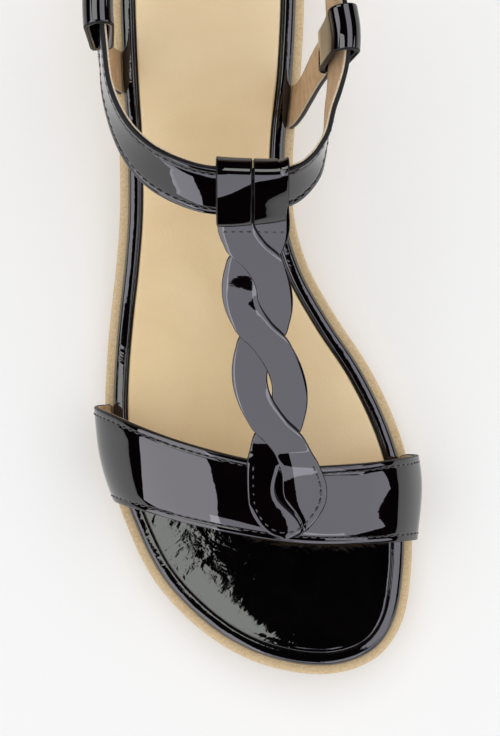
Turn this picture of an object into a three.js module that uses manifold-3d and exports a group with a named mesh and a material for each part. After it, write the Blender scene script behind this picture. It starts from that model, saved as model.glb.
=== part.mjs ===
import * as THREE from 'three';
import { mergeVertices } from 'three/addons/utils/BufferGeometryUtils.js';
import Module from 'manifold-3d';

const wasm = await Module();
wasm.setup();

// A right sandal with a twisted T-bar, in millimetres.
// The parts are worked out with y running from the toe tip to the heel, x growing from the heel's
// centre line to the medial side, and z growing from the floor. The last lines move the whole sandal
// so that its box stands on the origin.

// Last: length and ball width of the sole's outline, and heights of foot and ankle
const length = 250;
const ballWidth = 90;
const instepHeight = 63;
const ankleWidth = 66;
const ankleHeight = 102;

// Sole: thickness under the ball, rise of the heel seat, toe spring and arch
const foreSole = 9;
const heelRise = 22;
const toeSpring = 6;
const archLift = 2.5;
const lipWidth = 2.4;
const lipHeight = 3.4;
const lipGroove = 1.1;
const treadRound = 2.2;

// Footbed: a padded board with a rolled rim, and the sock that lies inside the rim
const footbedThickness = 4.2;
const rimWidth = 3.2;
const rimGroove = 0.9;
const padCrown = 0.9;
const sockThickness = 1;
const sockStart = 0.216;

// Straps: leather with its lining
const strapThickness = 1.8;
const strapBulgeRear = 2.4;
const strapBulgeFront = 0.2;
const tuckDepth = 8.3;
const tuckRadius = 0.6;
const tuckRise = 3.4;
const strandWidth = 9.8;
const strandSpread = 4.8;
const ankleStrapWidth = 16;
const ankleLap = 22;
const quarterStrapWidth = 12.2;
const quarterBow = 3;
const barSleeveWidth = 20.2;
const barSleeveGap = 0.5;
const sleeveRoll = 4.2;
const quarterRake = 0.42;

// Shares of a strap's thickness where two layers are sewn together, of the strands' width in their
// round tongue, and of the ball width in the instep that the bar is curved over
const lapShare = 1.8;
const foldShare = 1.7;
const tongueShare = 1.1;
const instepBreadth = 0.42;

// Free space left between pieces that touch
const clearance = 0.3;

// Resolution of the faceted shapes
const soleStations = 44;
const archStations = 22;
const strandStations = 52;
const ankleStations = 76;
const sleeveStations = 6;
const quarterStations = 12;

// Sections of the last, from the toe tip to the heel. at is a share of the length. lateral, medial and
// ridge are places across, as shares of the ball width. toe, arch and heel are shares of the toe
// spring, the arch lift and the heel rise. instep is the foot's height as a share of the instep height.
const lastSections = [
  { at: 0, lateral: 0.381, medial: 0.381, ridge: 0.3, toe: 1, arch: 0, heel: 0, instep: 0.12 },
  { at: 0.0235, lateral: 0.103, medial: 0.571, ridge: 0.29, toe: 0.8, arch: 0, heel: 0, instep: 0.17 },
  { at: 0.06, lateral: -0.046, medial: 0.635, ridge: 0.28, toe: 0.53, arch: 0, heel: 0, instep: 0.24 },
  { at: 0.11, lateral: -0.175, medial: 0.661, ridge: 0.265, toe: 0.24, arch: 0, heel: 0, instep: 0.32 },
  { at: 0.165, lateral: -0.257, medial: 0.667, ridge: 0.25, toe: 0.06, arch: 0, heel: 0, instep: 0.41 },
  { at: 0.235, lateral: -0.323, medial: 0.659, ridge: 0.24, toe: 0, arch: 0, heel: 0, instep: 0.525 },
  { at: 0.305, lateral: -0.34, medial: 0.597, ridge: 0.212, toe: 0, arch: 0, heel: 0, instep: 0.65 },
  { at: 0.36, lateral: -0.335, medial: 0.52, ridge: 0.187, toe: 0, arch: 0.04, heel: 0.03, instep: 0.745 },
  { at: 0.42, lateral: -0.32, medial: 0.41, ridge: 0.163, toe: 0, arch: 0.38, heel: 0.12, instep: 0.85 },
  { at: 0.475, lateral: -0.302, medial: 0.325, ridge: 0.15, toe: 0, arch: 0.82, heel: 0.26, instep: 0.915 },
  { at: 0.53, lateral: -0.289, medial: 0.28, ridge: 0.145, toe: 0, arch: 1, heel: 0.44, instep: 0.94 },
  { at: 0.6, lateral: -0.287, medial: 0.274, ridge: 0.144, toe: 0, arch: 0.72, heel: 0.67, instep: 0.99 },
  { at: 0.7, lateral: -0.301, medial: 0.299, ridge: 0.14, toe: 0, arch: 0.06, heel: 0.9, instep: 1.1 },
  { at: 0.8, lateral: -0.309, medial: 0.31, ridge: 0.12, toe: 0, arch: 0, heel: 0.99, instep: 1.15 },
  { at: 0.885, lateral: -0.297, medial: 0.3, ridge: 0.08, toe: 0, arch: 0, heel: 1, instep: 1.15 },
  { at: 0.95, lateral: -0.254, medial: 0.257, ridge: 0.04, toe: 0, arch: 0, heel: 1, instep: 1.1 },
  { at: 1, lateral: 0, medial: 0, ridge: 0, toe: 0, arch: 0, heel: 1, instep: 1.05 },
];

// Edges of the toe strap. across runs from the lateral side (-1) over the ridge (0) to the medial
// side (1), and rear and front are shares of the length.
const toeStrapEdges = [
  { across: -1, rear: 0.313, front: 0.203 },
  { across: -0.5, rear: 0.272, front: 0.175 },
  { across: 0, rear: 0.247, front: 0.158 },
  { across: 0.5, rear: 0.247, front: 0.155 },
  { across: 1, rear: 0.254, front: 0.156 },
];

// Course of one of the bar's two strands, from its sewn end to its folded top. The other one mirrors
// it. at is a share of the length, side a share of the spread and level is 1 where the strand crosses
// above the other and -1 where it passes below.
const strandCourse = [
  { at: 0.162, side: 1.1, level: 0 },
  { at: 0.246, side: 1.06, level: 0 },
  { at: 0.272, side: 0.45, level: 0.9 },
  { at: 0.296, side: -0.45, level: 0.9 },
  { at: 0.338, side: -1.13, level: 0 },
  { at: 0.381, side: -0.45, level: -0.9 },
  { at: 0.405, side: 0.45, level: -0.9 },
  { at: 0.439, side: 1, level: 0 },
  { at: 0.472, side: 0.45, level: 0.9 },
  { at: 0.492, side: -0.45, level: 0.9 },
  { at: 0.511, side: -0.97, level: 0.3 },
  { at: 0.536, side: -1, level: 0 },
];

// Course of the ankle strap's middle line, from the bar round the lateral side to the heel and back.
// across is a share of half the ankle's width, along a share of the length, up a share of the ankle's
// height, and lean is the tilt of the strap's top towards the foot, in degrees.
const ankleCourse = [
  { across: 0.263, along: 0.5503, up: 0.902, lean: 42 },
  { across: -0.034, along: 0.55, up: 0.902, lean: 49 },
  { across: -0.266, along: 0.5564, up: 0.904, lean: 46 },
  { across: -0.498, along: 0.5704, up: 0.908, lean: 40 },
  { across: -0.682, along: 0.591, up: 0.914, lean: 29 },
  { across: -0.834, along: 0.621, up: 0.926, lean: 17 },
  { across: -0.934, along: 0.659, up: 0.943, lean: 9 },
  { across: -0.965, along: 0.7, up: 0.958, lean: 5 },
  { across: -0.985, along: 0.76, up: 0.982, lean: 4 },
  { across: -0.905, along: 0.832, up: 1.01, lean: 4 },
  { across: -0.62, along: 0.9, up: 1.034, lean: 6 },
  { across: -0.13, along: 0.942, up: 1.05, lean: 8 },
  { across: 0.4, along: 0.925, up: 1.043, lean: 6 },
  { across: 0.76, along: 0.87, up: 1.023, lean: 0 },
  { across: 0.905, along: 0.8, up: 0.997, lean: -8 },
  { across: 0.945, along: 0.752, up: 0.979, lean: -14 },
  { across: 0.972, along: 0.72, up: 0.966, lean: -17 },
  { across: 0.966, along: 0.688, up: 0.953, lean: -15 },
  { across: 0.936, along: 0.662, up: 0.943, lean: -10 },
  { across: 0.9, along: 0.64, up: 0.934, lean: -5 },
  { across: 0.873, along: 0.616, up: 0.924, lean: -1 },
  { across: 0.835, along: 0.6, up: 0.918, lean: 4 },
  { across: 0.79, along: 0.586, up: 0.913, lean: 11 },
  { across: 0.715, along: 0.5705, up: 0.908, lean: 22 },
  { across: 0.578, along: 0.556, up: 0.904, lean: 33 },
  { across: 0.46, along: 0.552, up: 0.903, lean: 37 },
];
const ankleCentre = 0.048;

// Places of the quarter straps, as shares of the length, at the ankle strap and at the sole, and the
// shift outwards of the roll at their top, as a share of the strap's thickness
const quarterPlaces = {
  lateral: { top: 0.738, foot: 0.698, shift: 0.61 },
  medial: { top: 0.711, foot: 0.658, shift: -0.44 },
};

// Curve through a column of a table, in cubic pieces whose slopes come from the neighbouring rows
function curveThrough(rows, column, place = row => row.at) {
  const knots = rows.map(place);
  const values = rows.map(row => row[column]);
  const end = rows.length - 1;
  const secant = i => (values[i + 1] - values[i]) / (knots[i + 1] - knots[i]);
  const slopes = values.map((value, i) => {
    if (i === 0) return secant(0);
    if (i === end) return secant(end - 1);
    const before = knots[i] - knots[i - 1];
    const after = knots[i + 1] - knots[i];
    return (secant(i - 1) * after + secant(i) * before) / (before + after);
  });
  return knot => {
    let i = 0;
    while (i < end - 1 && knot > knots[i + 1]) i += 1;
    const span = knots[i + 1] - knots[i];
    const u = (knot - knots[i]) / span;
    const v = 1 - u;
    return values[i] * v * v * (1 + 2 * u) + values[i + 1] * u * u * (1 + 2 * v)
      + slopes[i] * span * u * v * v - slopes[i + 1] * span * u * u * v;
  };
}

// A station's turn runs evenly round a half circle over the length, which rounds the outline's ends
const turnOf = at => Math.acos(1 - 2 * at) / Math.PI;
const atOf = turn => (1 - Math.cos(Math.PI * turn)) / 2;
const turnOfRow = row => turnOf(row.at);

const outline = {
  lateral: curveThrough(lastSections, 'lateral', turnOfRow),
  medial: curveThrough(lastSections, 'medial', turnOfRow),
};
const ridgeShare = curveThrough(lastSections, 'ridge');
const toeShare = curveThrough(lastSections, 'toe');
const archShare = curveThrough(lastSections, 'arch');
const heelShare = curveThrough(lastSections, 'heel');
const instepShare = curveThrough(lastSections, 'instep');

const otherSide = { lateral: 'medial', medial: 'lateral' };
const inwards = { lateral: 1, medial: -1 };

const groundHeight = at => Math.max(0, toeSpring * toeShare(at) + archLift * archShare(at));
const seatHeight = at => foreSole + toeSpring * toeShare(at) + heelRise * heelShare(at);

// Point of the sole's outline. A turn past the toe or the heel runs on along the other side.
function edgePoint(side, turn) {
  if (turn < 0) return edgePoint(otherSide[side], -turn);
  if (turn > 1) return edgePoint(otherSide[side], 2 - turn);
  return new THREE.Vector2(outline[side](turn) * ballWidth, atOf(turn) * length);
}

// Point of the outline moved inwards, square to its edge
function insetPoint(side, turn, inset) {
  const step = 0.002;
  const tangent = edgePoint(side, turn + step).sub(edgePoint(side, turn - step)).normalize();
  const normal = new THREE.Vector2(tangent.y, -tangent.x).multiplyScalar(inwards[side]);
  return edgePoint(side, turn).addScaledVector(normal, inset);
}

// Point over the sole's edge at a height above the seat
function overEdge(side, at, inset, height) {
  const point = insetPoint(side, turnOf(at), inset);
  return new THREE.Vector3(point.x, point.y, seatHeight(point.y / length) + height);
}

// Geometry of a closed solid: shared corners are merged, empty triangles dropped, faces turned out
function closedGeometry(points, triangles) {
  const rough = new THREE.BufferGeometry().setFromPoints(points);
  rough.setIndex(triangles.flat());
  const merged = mergeVertices(rough, 1e-4);
  const index = merged.getIndex().array;
  const faces = [];
  for (let i = 0; i < index.length; i += 3) {
    const [a, b, c] = [index[i], index[i + 1], index[i + 2]];
    if (a !== b && b !== c && c !== a) faces.push([a, b, c]);
  }
  const corners = i => new THREE.Vector3().fromBufferAttribute(merged.getAttribute('position'), i);
  const volume = faces.reduce((sum, [a, b, c]) => sum + corners(a).dot(corners(b).cross(corners(c))), 0);
  merged.setIndex((volume < 0 ? faces.map(([a, b, c]) => [a, c, b]) : faces).flat());
  return merged;
}

// Triangles of the quads between two rings of corners that start at two indices
function ringQuads(start, next, count) {
  const triangles = [];
  for (let k = 0; k < count; k += 1) {
    const after = (k + 1) % count;
    triangles.push([start + k, start + after, next + after], [start + k, next + after, next + k]);
  }
  return triangles;
}

// Solid through closed sections with the same number of corners. cap lists the triangles that close
// one section. A loop of sections runs back to its first one and has no caps.
function loft(sections, cap, isLoop = false) {
  const count = sections[0].length;
  const triangles = [];
  const spans = isLoop ? sections.length : sections.length - 1;
  for (let i = 0; i < spans; i += 1) {
    triangles.push(...ringQuads(i * count, ((i + 1) % sections.length) * count, count));
  }
  if (!isLoop) {
    const last = (sections.length - 1) * count;
    cap.forEach(([a, b, c]) => triangles.push([a, c, b], [last + a, last + b, last + c]));
  }
  return closedGeometry(sections.flat(), triangles);
}

// Cap of a flat section that runs out along one face and back along the other
function stripCap(count) {
  const triangles = [];
  for (let k = 0; k < count / 2 - 1; k += 1) {
    triangles.push([k, k + 1, count - 2 - k], [k, count - 2 - k, count - 1 - k]);
  }
  return triangles;
}

// Joined, or cut, closed geometries
function solidOf(geometry) {
  const bare = geometry.clone();
  bare.deleteAttribute('normal');
  const vertProperties = bare.getAttribute('position').array;
  const triVerts = new Uint32Array(bare.getIndex().array);
  return new wasm.Manifold(new wasm.Mesh({ numProp: 3, vertProperties, triVerts }));
}

function geometryOf(solid) {
  const mesh = solid.getMesh();
  const geometry = new THREE.BufferGeometry();
  geometry.setAttribute('position', new THREE.Float32BufferAttribute(mesh.vertProperties, 3));
  geometry.setIndex([...mesh.triVerts]);
  return geometry;
}

// A join keeps no sealed gap between the layers that it fuses
function joined(geometries) {
  const whole = geometries.map(solidOf).reduce((sum, solid) => sum.add(solid));
  const shells = whole.decompose().filter(shell => shell.volume() > 0);
  return geometryOf(shells.reduce((sum, shell) => sum.add(shell)));
}

const cut = (geometry, cutters) => geometryOf(
  cutters.map(solidOf).reduce((rest, cutter) => rest.subtract(cutter), solidOf(geometry)));

// Plate of the sole's outline. profile(at) lists its rings from the bottom edge to the top edge as
// insets and heights. crown and hollow are how far the middle of its top and of its underside stand
// above their edges.
function plate(stations, profile, crown, hollow, columns) {
  const sections = stations.map(turn => {
    const rings = profile(atOf(turn));
    const ringPoints = side => rings.map(({ inset }, k) => {
      const point = insetPoint(side, turn, inset);
      return new THREE.Vector3(point.x, point.y, profile(point.y / length)[k].height);
    });
    const lateral = ringPoints('lateral');
    const medial = ringPoints('medial');
    const between = (from, to, rise) => Array.from({ length: columns - 1 }, (unused, k) => {
      const share = (k + 1) / columns;
      const point = from.clone().lerp(to, share);
      const fade = Math.min(1, 2 * from.distanceTo(to) / ballWidth);
      point.z += rise * fade * 4 * share * (1 - share);
      return point;
    });
    const top = rings.length - 1;
    return [
      ...medial,
      ...between(medial[top], lateral[top], crown),
      ...lateral.reverse(),
      ...between(lateral[top], medial[0], hollow),
    ];
  });
  const face = sections[0].map(point => new THREE.Vector2(point.x, point.z));
  const cap = THREE.ShapeUtils.triangulateShape(face, []);
  return loft(sections, cap);
}

const wholeLength = Array.from({ length: soleStations + 1 }, (unused, i) => i / soleStations);

// Sole unit: a tread face, a wall that draws in below a lip, and the seat
function soleProfile(at) {
  const ground = groundHeight(at);
  const seat = seatHeight(at);
  return [
    { inset: lipGroove + treadRound, height: ground },
    { inset: lipGroove + treadRound * 0.3, height: ground + treadRound * 0.3 },
    { inset: lipGroove, height: ground + treadRound },
    { inset: lipGroove, height: seat - lipHeight - lipGroove * 0.5 },
    { inset: lipGroove * 0.25, height: seat - lipHeight },
    { inset: 0, height: seat - lipHeight * 0.5 },
    { inset: lipGroove * 0.3, height: seat - lipHeight * 0.12 },
    { inset: lipGroove * 0.8, height: seat },
  ];
}

const soleGeometry = plate(wholeLength, soleProfile, 0, 0, 2);

// Footbed: the rim is rolled, a groove runs inside it, and from the sock's front edge on the middle
// lies lower by what the sock takes up
const padEdge = lipWidth + 1.2 * rimWidth;
const padSink = 0.35 * rimGroove;
const sockRecess = clearance + sockThickness - padSink;
const recessShare = at => THREE.MathUtils.clamp((at - sockStart) * length / clearance + 2, 0, 1);

function footbedProfile(at) {
  const bottom = seatHeight(at) + clearance;
  const top = bottom + footbedThickness;
  const rimFoot = top - rimGroove - (sockRecess - rimGroove * 0.6) * recessShare(at);
  const pad = top - padSink - sockRecess * recessShare(at);
  return [
    { inset: lipWidth + 0.3 * rimWidth, height: bottom },
    { inset: lipWidth + 0.07 * rimWidth, height: bottom + 0.2 * footbedThickness },
    { inset: lipWidth, height: bottom + 0.45 * footbedThickness },
    { inset: lipWidth + 0.12 * rimWidth, height: bottom + 0.8 * footbedThickness },
    { inset: lipWidth + 0.45 * rimWidth, height: top },
    { inset: lipWidth + 0.8 * rimWidth, height: top - 0.3 * rimGroove },
    { inset: lipWidth + rimWidth, height: rimFoot },
    { inset: padEdge, height: pad },
  ];
}

const sockEdge = [turnOf(sockStart - 2 * clearance / length), turnOf(sockStart - clearance / length)];
const footbedStations = [...wholeLength, ...sockEdge].sort((a, b) => a - b);
const wholeFootbed = plate(footbedStations, footbedProfile, padCrown, 0, 4);

// Sock: a thin sheet on the footbed, inside the rim
const sockInset = padEdge + 2 * clearance;
const sockStations = Array.from({ length: soleStations }, (unused, i) =>
  THREE.MathUtils.lerp(turnOf(sockStart), 1, i / (soleStations - 1)));

function sockProfile(at) {
  const rings = footbedProfile(at);
  const bottom = rings[rings.length - 1].height + clearance;
  return [
    { inset: sockInset, height: bottom },
    { inset: sockInset, height: bottom + 0.6 * sockThickness },
    { inset: sockInset + 0.4 * sockThickness, height: bottom + sockThickness },
  ];
}

const sockGeometry = plate(sockStations, sockProfile, padCrown, padCrown, 4);

// Strap from rows of points on its inner face, all with the same number of points across. Its outer
// face lies a thickness away, square to the strap. slack widens it all round, for a cutter.
function strap(rows, thickness, slack = 0, isLoop = false) {
  const end = rows.length - 1;
  const side = rows[0].length - 1;
  const row = i => rows[isLoop ? (i + rows.length) % rows.length : THREE.MathUtils.clamp(i, 0, end)];
  const sections = rows.map((points, i) => {
    const inner = points.map((point, j) => {
      const along = row(i + 1)[j].clone().sub(row(i - 1)[j]).normalize();
      const across = points[Math.min(j + 1, side)].clone().sub(points[Math.max(j - 1, 0)]).normalize();
      const out = along.clone().cross(across).normalize();
      const edge = (j === 0 ? -slack : 0) + (j === side ? slack : 0);
      const tip = isLoop ? 0 : (i === 0 ? -slack : 0) + (i === end ? slack : 0);
      const base = point.clone().addScaledVector(across, edge).addScaledVector(along, tip);
      return {
        low: base.clone().addScaledVector(out, -slack),
        high: base.clone().addScaledVector(out, thickness(i) + slack),
      };
    });
    return [...inner.map(({ low }) => low), ...inner.reverse().map(({ high }) => high)];
  });
  return loft(sections, stripCap(sections[0].length), isLoop);
}

// Points of a strap's end on its inner face: down beside the footbed and in under it
function tuckPoint(side, at, step) {
  const lip = lipWidth - clearance;
  const bend = clearance + strapThickness;
  const course = [
    { inset: lip, height: tuckRise },
    { inset: lip, height: bend + tuckRadius },
    { inset: lip + 0.4 * tuckRadius, height: bend + 0.3 * tuckRadius },
    { inset: lip + 1.5 * tuckRadius, height: bend },
    { inset: lip + tuckDepth, height: bend },
  ];
  const { inset, height } = course[step];
  return overEdge(side, at, inset, height);
}
const tuckSteps = [1, 2, 3, 4];

// Point of the foot's surface over the sole. across is -1 on the lateral side, 0 on the ridge and 1 on
// the medial side, up is a share of the way from the sole to the ridge, and bulge is how far its widest
// part stands out over the sole's edge. Below drawInHeight the surface draws in to the footbed.
const drawInHeight = 0.35;

function footPoint(at, across, up, bulge) {
  const side = across < 0 ? 'lateral' : 'medial';
  const ridge = ridgeShare(at) * ballWidth;
  const edge = outline[side](turnOf(at)) * ballWidth - inwards[side] * bulge;
  const drawIn = (lipWidth - clearance + bulge) * Math.max(0, 1 - up / drawInHeight) ** 2;
  const x = ridge + Math.abs(across) * (edge + inwards[side] * drawIn - ridge);
  const top = footbedThickness + instepHeight * instepShare(at);
  return new THREE.Vector3(x, at * length, seatHeight(at) + tuckRise + up * (top - tuckRise));
}

// Round of the foot's section: the share up that belongs to a share across
const roundness = 2.35;
const archUp = across => (1 - Math.min(1, Math.abs(across)) ** roundness) ** (1 / roundness);

// Toe strap
const acrossOf = row => row.across;
const strapRear = curveThrough(toeStrapEdges, 'rear', acrossOf);
const strapFront = curveThrough(toeStrapEdges, 'front', acrossOf);
const strapBulges = [strapBulgeFront, (strapBulgeFront + strapBulgeRear) / 2, strapBulgeRear];

function toeStrapRows() {
  const rowAt = place => {
    const rear = strapRear(place);
    const front = strapFront(place);
    return [front, (front + rear) / 2, rear];
  };
  const tucked = (side, place, step) => rowAt(place).map(at => tuckPoint(side, at, step));
  const rows = [];
  [...tuckSteps].reverse().forEach(step => rows.push(tucked('lateral', -1, step)));
  for (let i = 0; i <= archStations; i += 1) {
    const swing = (i / archStations - 0.5) * Math.PI;
    const across = Math.sign(Math.sin(swing)) * Math.abs(Math.sin(swing)) ** (2 / roundness);
    rows.push(rowAt(across).map((at, j) => footPoint(at, across, archUp(across), strapBulges[j])));
  }
  tuckSteps.forEach(step => rows.push(tucked('medial', 1, step)));
  return rows;
}

const strapGauge = () => strapThickness;
const toeRows = toeStrapRows();
const toeStrap = strap(toeRows, strapGauge);

// Bar: two strands twisted round each other. Over the toe strap they lie side by side, one strap
// thickness higher, and their ends are cut to a round tongue.
const strandSide = curveThrough(strandCourse, 'side');
const strandLevel = curveThrough(strandCourse, 'level');
const barStart = strandCourse[0].at;
const barEnd = strandCourse[strandCourse.length - 1].at;
const fuse = 0.3;
const barDip = 8.5;
const sewnInset = 1;
const tipInset = 0.2;

// Height of the bar over the foot: on the toe strap, then sinking to the foot behind it
function barHeight(at) {
  const behind = THREE.MathUtils.smoothstep((at - strapRear(0)) * length, -sewnInset, barDip - sewnInset);
  return THREE.MathUtils.lerp(strapThickness - fuse, strapThickness / 2, behind);
}

// Rise or fall of the bar's top with the ankle strap, which it is folded round
const barTopShare = 0.811;

function barTie(at) {
  const gap = barTopShare * ankleHeight - footPoint(barEnd, 0, 1, 0).z;
  return gap * THREE.MathUtils.smoothstep(at, strapRear(0), barEnd);
}

function strandRows(mirror) {
  const step = 0.001;
  const tongueLength = tongueShare * strandWidth;
  const rows = [];
  for (let i = 0; i <= strandStations; i += 1) {
    const at = THREE.MathUtils.lerp(barStart, barEnd, i / strandStations);
    const centre = mirror * strandSide(at) * strandSpread;
    const lift = mirror * strandLevel(at) * (strapThickness - fuse) / 2;
    const fromTip = (at - barStart) * length + tipInset;
    const roundIn = Math.sqrt(1 - Math.max(0, 1 - fromTip / tongueLength) ** 2);
    const reach = (strandSpread + strandWidth / 2) * roundIn;
    const turn = (strandSide(at + step) - strandSide(at - step)) / (2 * step);
    const half = strandWidth / 2 * Math.hypot(1, turn * strandSpread / length);
    const spots = [centre - half, centre, centre + half];
    const ridge = ridgeShare(at) * ballWidth;
    rows.push(spots.map(spot => {
      const offset = THREE.MathUtils.clamp(spot, -reach, reach);
      const footSide = Math.abs(footPoint(at, Math.sign(offset) || 1, 1, strapBulgeFront).x - ridge);
      const breadth = Math.max(footSide, instepBreadth * ballWidth);
      const point = footPoint(at, 0, archUp(offset / breadth), strapBulgeFront);
      point.x = ridge + offset;
      point.z += barHeight(at) + barTie(at) + lift;
      return point;
    }).reverse());
  }
  return rows;
}

// Ankle strap: its course is closed, and its faces lean with the foot
const anklePoint = row => new THREE.Vector3(
  ankleCentre * ballWidth + row.across * ankleWidth / 2, row.along * length, row.up * ankleHeight);
const ankleLine = new THREE.CatmullRomCurve3(ankleCourse.map(anklePoint), true, 'catmullrom');
const ankleLean = new THREE.CatmullRomCurve3(
  ankleCourse.map(row => new THREE.Vector3(row.lean, 0, 0)), true, 'catmullrom');
const ankleLength = ankleLine.getLength();

// Place on the ankle strap at a distance along it: its centre and the directions out and up
function ankleFrame(distance) {
  const share = THREE.MathUtils.euclideanModulo(distance / ankleLength, 1);
  const knot = ankleLine.getUtoTmapping(share);
  const lean = THREE.MathUtils.degToRad(ankleLean.getPoint(knot).x);
  const along = ankleLine.getTangent(knot);
  const level = new THREE.Vector3(0, 0, 1).cross(along).normalize();
  const upright = along.clone().cross(level);
  return {
    centre: ankleLine.getPoint(knot),
    out: level.clone().multiplyScalar(Math.cos(lean)).addScaledVector(upright, Math.sin(lean)),
    up: upright.clone().multiplyScalar(Math.cos(lean)).addScaledVector(level, -Math.sin(lean)),
  };
}

const placeIn = (frame, out, up) => frame.centre.clone()
  .addScaledVector(frame.out, out).addScaledVector(frame.up, up);

// Distance along the ankle strap at which it passes a place along the foot, on one side
function ankleDistance(side, along) {
  const samples = Array.from({ length: 400 }, (unused, i) => ankleLength * i / 400);
  const onSide = samples.filter(distance => {
    const across = ankleFrame(distance).centre.x - ankleCentre * ballWidth;
    return across * inwards[side] < 0;
  });
  const miss = distance => Math.abs(ankleFrame(distance).centre.y - along * length);
  return onSide.reduce((best, distance) => (miss(distance) < miss(best) ? distance : best));
}

function ankleRows() {
  return Array.from({ length: ankleStations }, (unused, i) => {
    const frame = ankleFrame(ankleLength * i / ankleStations);
    const half = ankleStrapWidth / 2;
    return [half, 0, -half].map(up => placeIn(frame, -strapThickness / 2, up));
  });
}

// The strap's two ends are lapped behind the lateral quarter strap
function ankleGauge(i) {
  const lapStart = ankleDistance('lateral', quarterPlaces.lateral.top) + quarterStrapWidth;
  const distance = ankleLength * i / ankleStations - lapStart;
  return distance > 0 && distance < ankleLap ? strapThickness * lapShare : strapThickness;
}

const ankleGeometry = strap(ankleRows(), ankleGauge, 0, true);

// Point beside the ankle strap in the plane that cuts the bar lengthwise at the given distance: it is
// slid along the strap until it lies in that plane
function squarePlace(distance, out, up) {
  const plane = ankleFrame(distance).centre.x;
  let slid = distance;
  for (let i = 0; i < 3; i += 1) {
    slid += placeIn(ankleFrame(slid), out, up).x - plane;
  }
  return placeIn(ankleFrame(slid), out, up);
}

// Point beside the ankle strap, slid backwards with its height, as the quarter straps are raked
const rakedPlace = side => (distance, out, up) =>
  placeIn(ankleFrame(distance + inwards[side] * quarterRake * up), out, up);

// Sleeve of strap leather round the ankle strap, between two distances along it. hollow and skin are
// its inner and outer sections, as places out and up from the strap's centre.
function sleeve(from, to, hollow, skin, place) {
  const count = hollow.length;
  const points = [];
  const triangles = [];
  for (let i = 0; i <= sleeveStations; i += 1) {
    const distance = THREE.MathUtils.lerp(from, to, i / sleeveStations);
    points.push(...[...hollow, ...skin].map(({ out, up }) => place(distance, out, up)));
  }
  for (let i = 0; i < sleeveStations; i += 1) {
    const here = i * 2 * count;
    const next = here + 2 * count;
    ringQuads(here, next, count).forEach(([a, b, c]) => triangles.push([a, c, b]));
    triangles.push(...ringQuads(here + count, next + count, count));
  }
  const last = sleeveStations * 2 * count;
  triangles.push(...ringQuads(0, count, count));
  ringQuads(last, last + count, count).forEach(([a, b, c]) => triangles.push([a, c, b]));
  return closedGeometry(points, triangles);
}

const sleeveSlack = 2.3 * clearance;
const sleeveCorner = 0.6;

// Section of a sleeve that lies close round the strap, with rounded edges
function closeSection(margin) {
  const out = strapThickness / 2 + margin;
  const up = ankleStrapWidth / 2 + margin;
  const corner = sleeveCorner * out;
  return [
    { out: out, up: -up + corner },
    { out: out, up: up - corner },
    { out: out - corner, up: up },
    { out: -out + corner, up: up },
    { out: -out, up: up - corner },
    { out: -out, up: -up + corner },
    { out: -out + corner, up: -up },
    { out: out - corner, up: -up },
  ];
}

// Bar sleeves: the folded tops of the two strands, side by side round the ankle strap
function barSleeves() {
  const inner = closeSection(sleeveSlack);
  const outer = closeSection(sleeveSlack + strapThickness);
  const near = barSleeveGap / 2;
  const far = barSleeveWidth / 2;
  return [
    sleeve(-far, -near, inner, outer, squarePlace),
    sleeve(near, far, inner, outer, squarePlace),
  ];
}

// Quarter sleeves hang in a drop shape: a roll over the strap's top edge that closes below it. shift
// is how far out the roll hangs from the strap.
function dropSection(wall, shift) {
  const half = ankleStrapWidth / 2;
  const low = half + sleeveSlack;
  const slim = strapThickness / 2 + sleeveSlack;
  const roll = sleeveRoll - strapThickness;
  const round = (angle, radius) => ({
    out: shift + radius * Math.cos(angle),
    up: half - 0.25 * roll + radius * Math.sin(angle),
  });
  const arc = Array.from({ length: 7 }, (unused, i) => round(Math.PI * i / 6, roll + wall));
  return [
    { out: slim * 0.5 + wall, up: -low - wall },
    { out: slim + wall, up: -low },
    ...arc,
    { out: -slim - wall, up: -low },
    { out: -slim * 0.5 - wall, up: -low - wall },
  ];
}

// Quarter strap: its sleeve, two layers where the fold is sewn down, then one layer to the sole, where
// it is tucked in under the footbed
function quarterRows(side) {
  const { top, foot } = quarterPlaces[side];
  const distance = ankleDistance(side, top);
  const half = quarterStrapWidth / 2;
  const start = -(ankleStrapWidth + strapThickness) / 2 - sleeveSlack;
  const outwards = -inwards[side];
  const place = rakedPlace(side);
  const columns = [-1, 0, 1].map(share => {
    const beside = distance + inwards[side] * share * half;
    const head = place(beside, -strapThickness / 2, start);
    const above = place(beside, -strapThickness / 2, 0);
    const at = foot + share * half / length;
    const base = tuckPoint(side, at, 0);
    const reach = head.distanceTo(base) / 3;
    const leave = head.clone().addScaledVector(head.clone().sub(above).normalize(), reach);
    const arrive = base.clone().add(new THREE.Vector3(outwards * quarterBow, 0, reach));
    const line = new THREE.CubicBezierCurve3(head, leave, arrive, base);
    return [...line.getPoints(quarterStations), ...tuckSteps.map(step => tuckPoint(side, at, step))];
  });
  const rows = columns[0].map((point, i) => columns.map(column => column[i]));
  return side === 'medial' ? rows : rows.map(row => row.reverse());
}

const foldRows = 3;
const quarterGauge = i => (i < foldRows ? strapThickness * foldShare : strapThickness);

function quarterStrap(side, rows) {
  const { top, shift } = quarterPlaces[side];
  const from = ankleDistance(side, top) - quarterStrapWidth / 2;
  const hollow = dropSection(0, shift * strapThickness);
  const skin = dropSection(strapThickness, shift * strapThickness);
  const roll = sleeve(from, from + quarterStrapWidth, hollow, skin, rakedPlace(side));
  return joined([strap(rows, quarterGauge), roll]);
}

const lateralRows = quarterRows('lateral');
const medialRows = quarterRows('medial');
const upperGeometry = joined([
  toeStrap,
  strap(strandRows(1), strapGauge),
  strap(strandRows(-1), strapGauge),
  ...barSleeves(),
]);

// Room for the tucked strap ends under the footbed's edge
const footbedGeometry = cut(wholeFootbed, [
  strap(toeRows, strapGauge, clearance),
  strap(lateralRows, quarterGauge, clearance),
  strap(medialRows, quarterGauge, clearance),
]);

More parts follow.
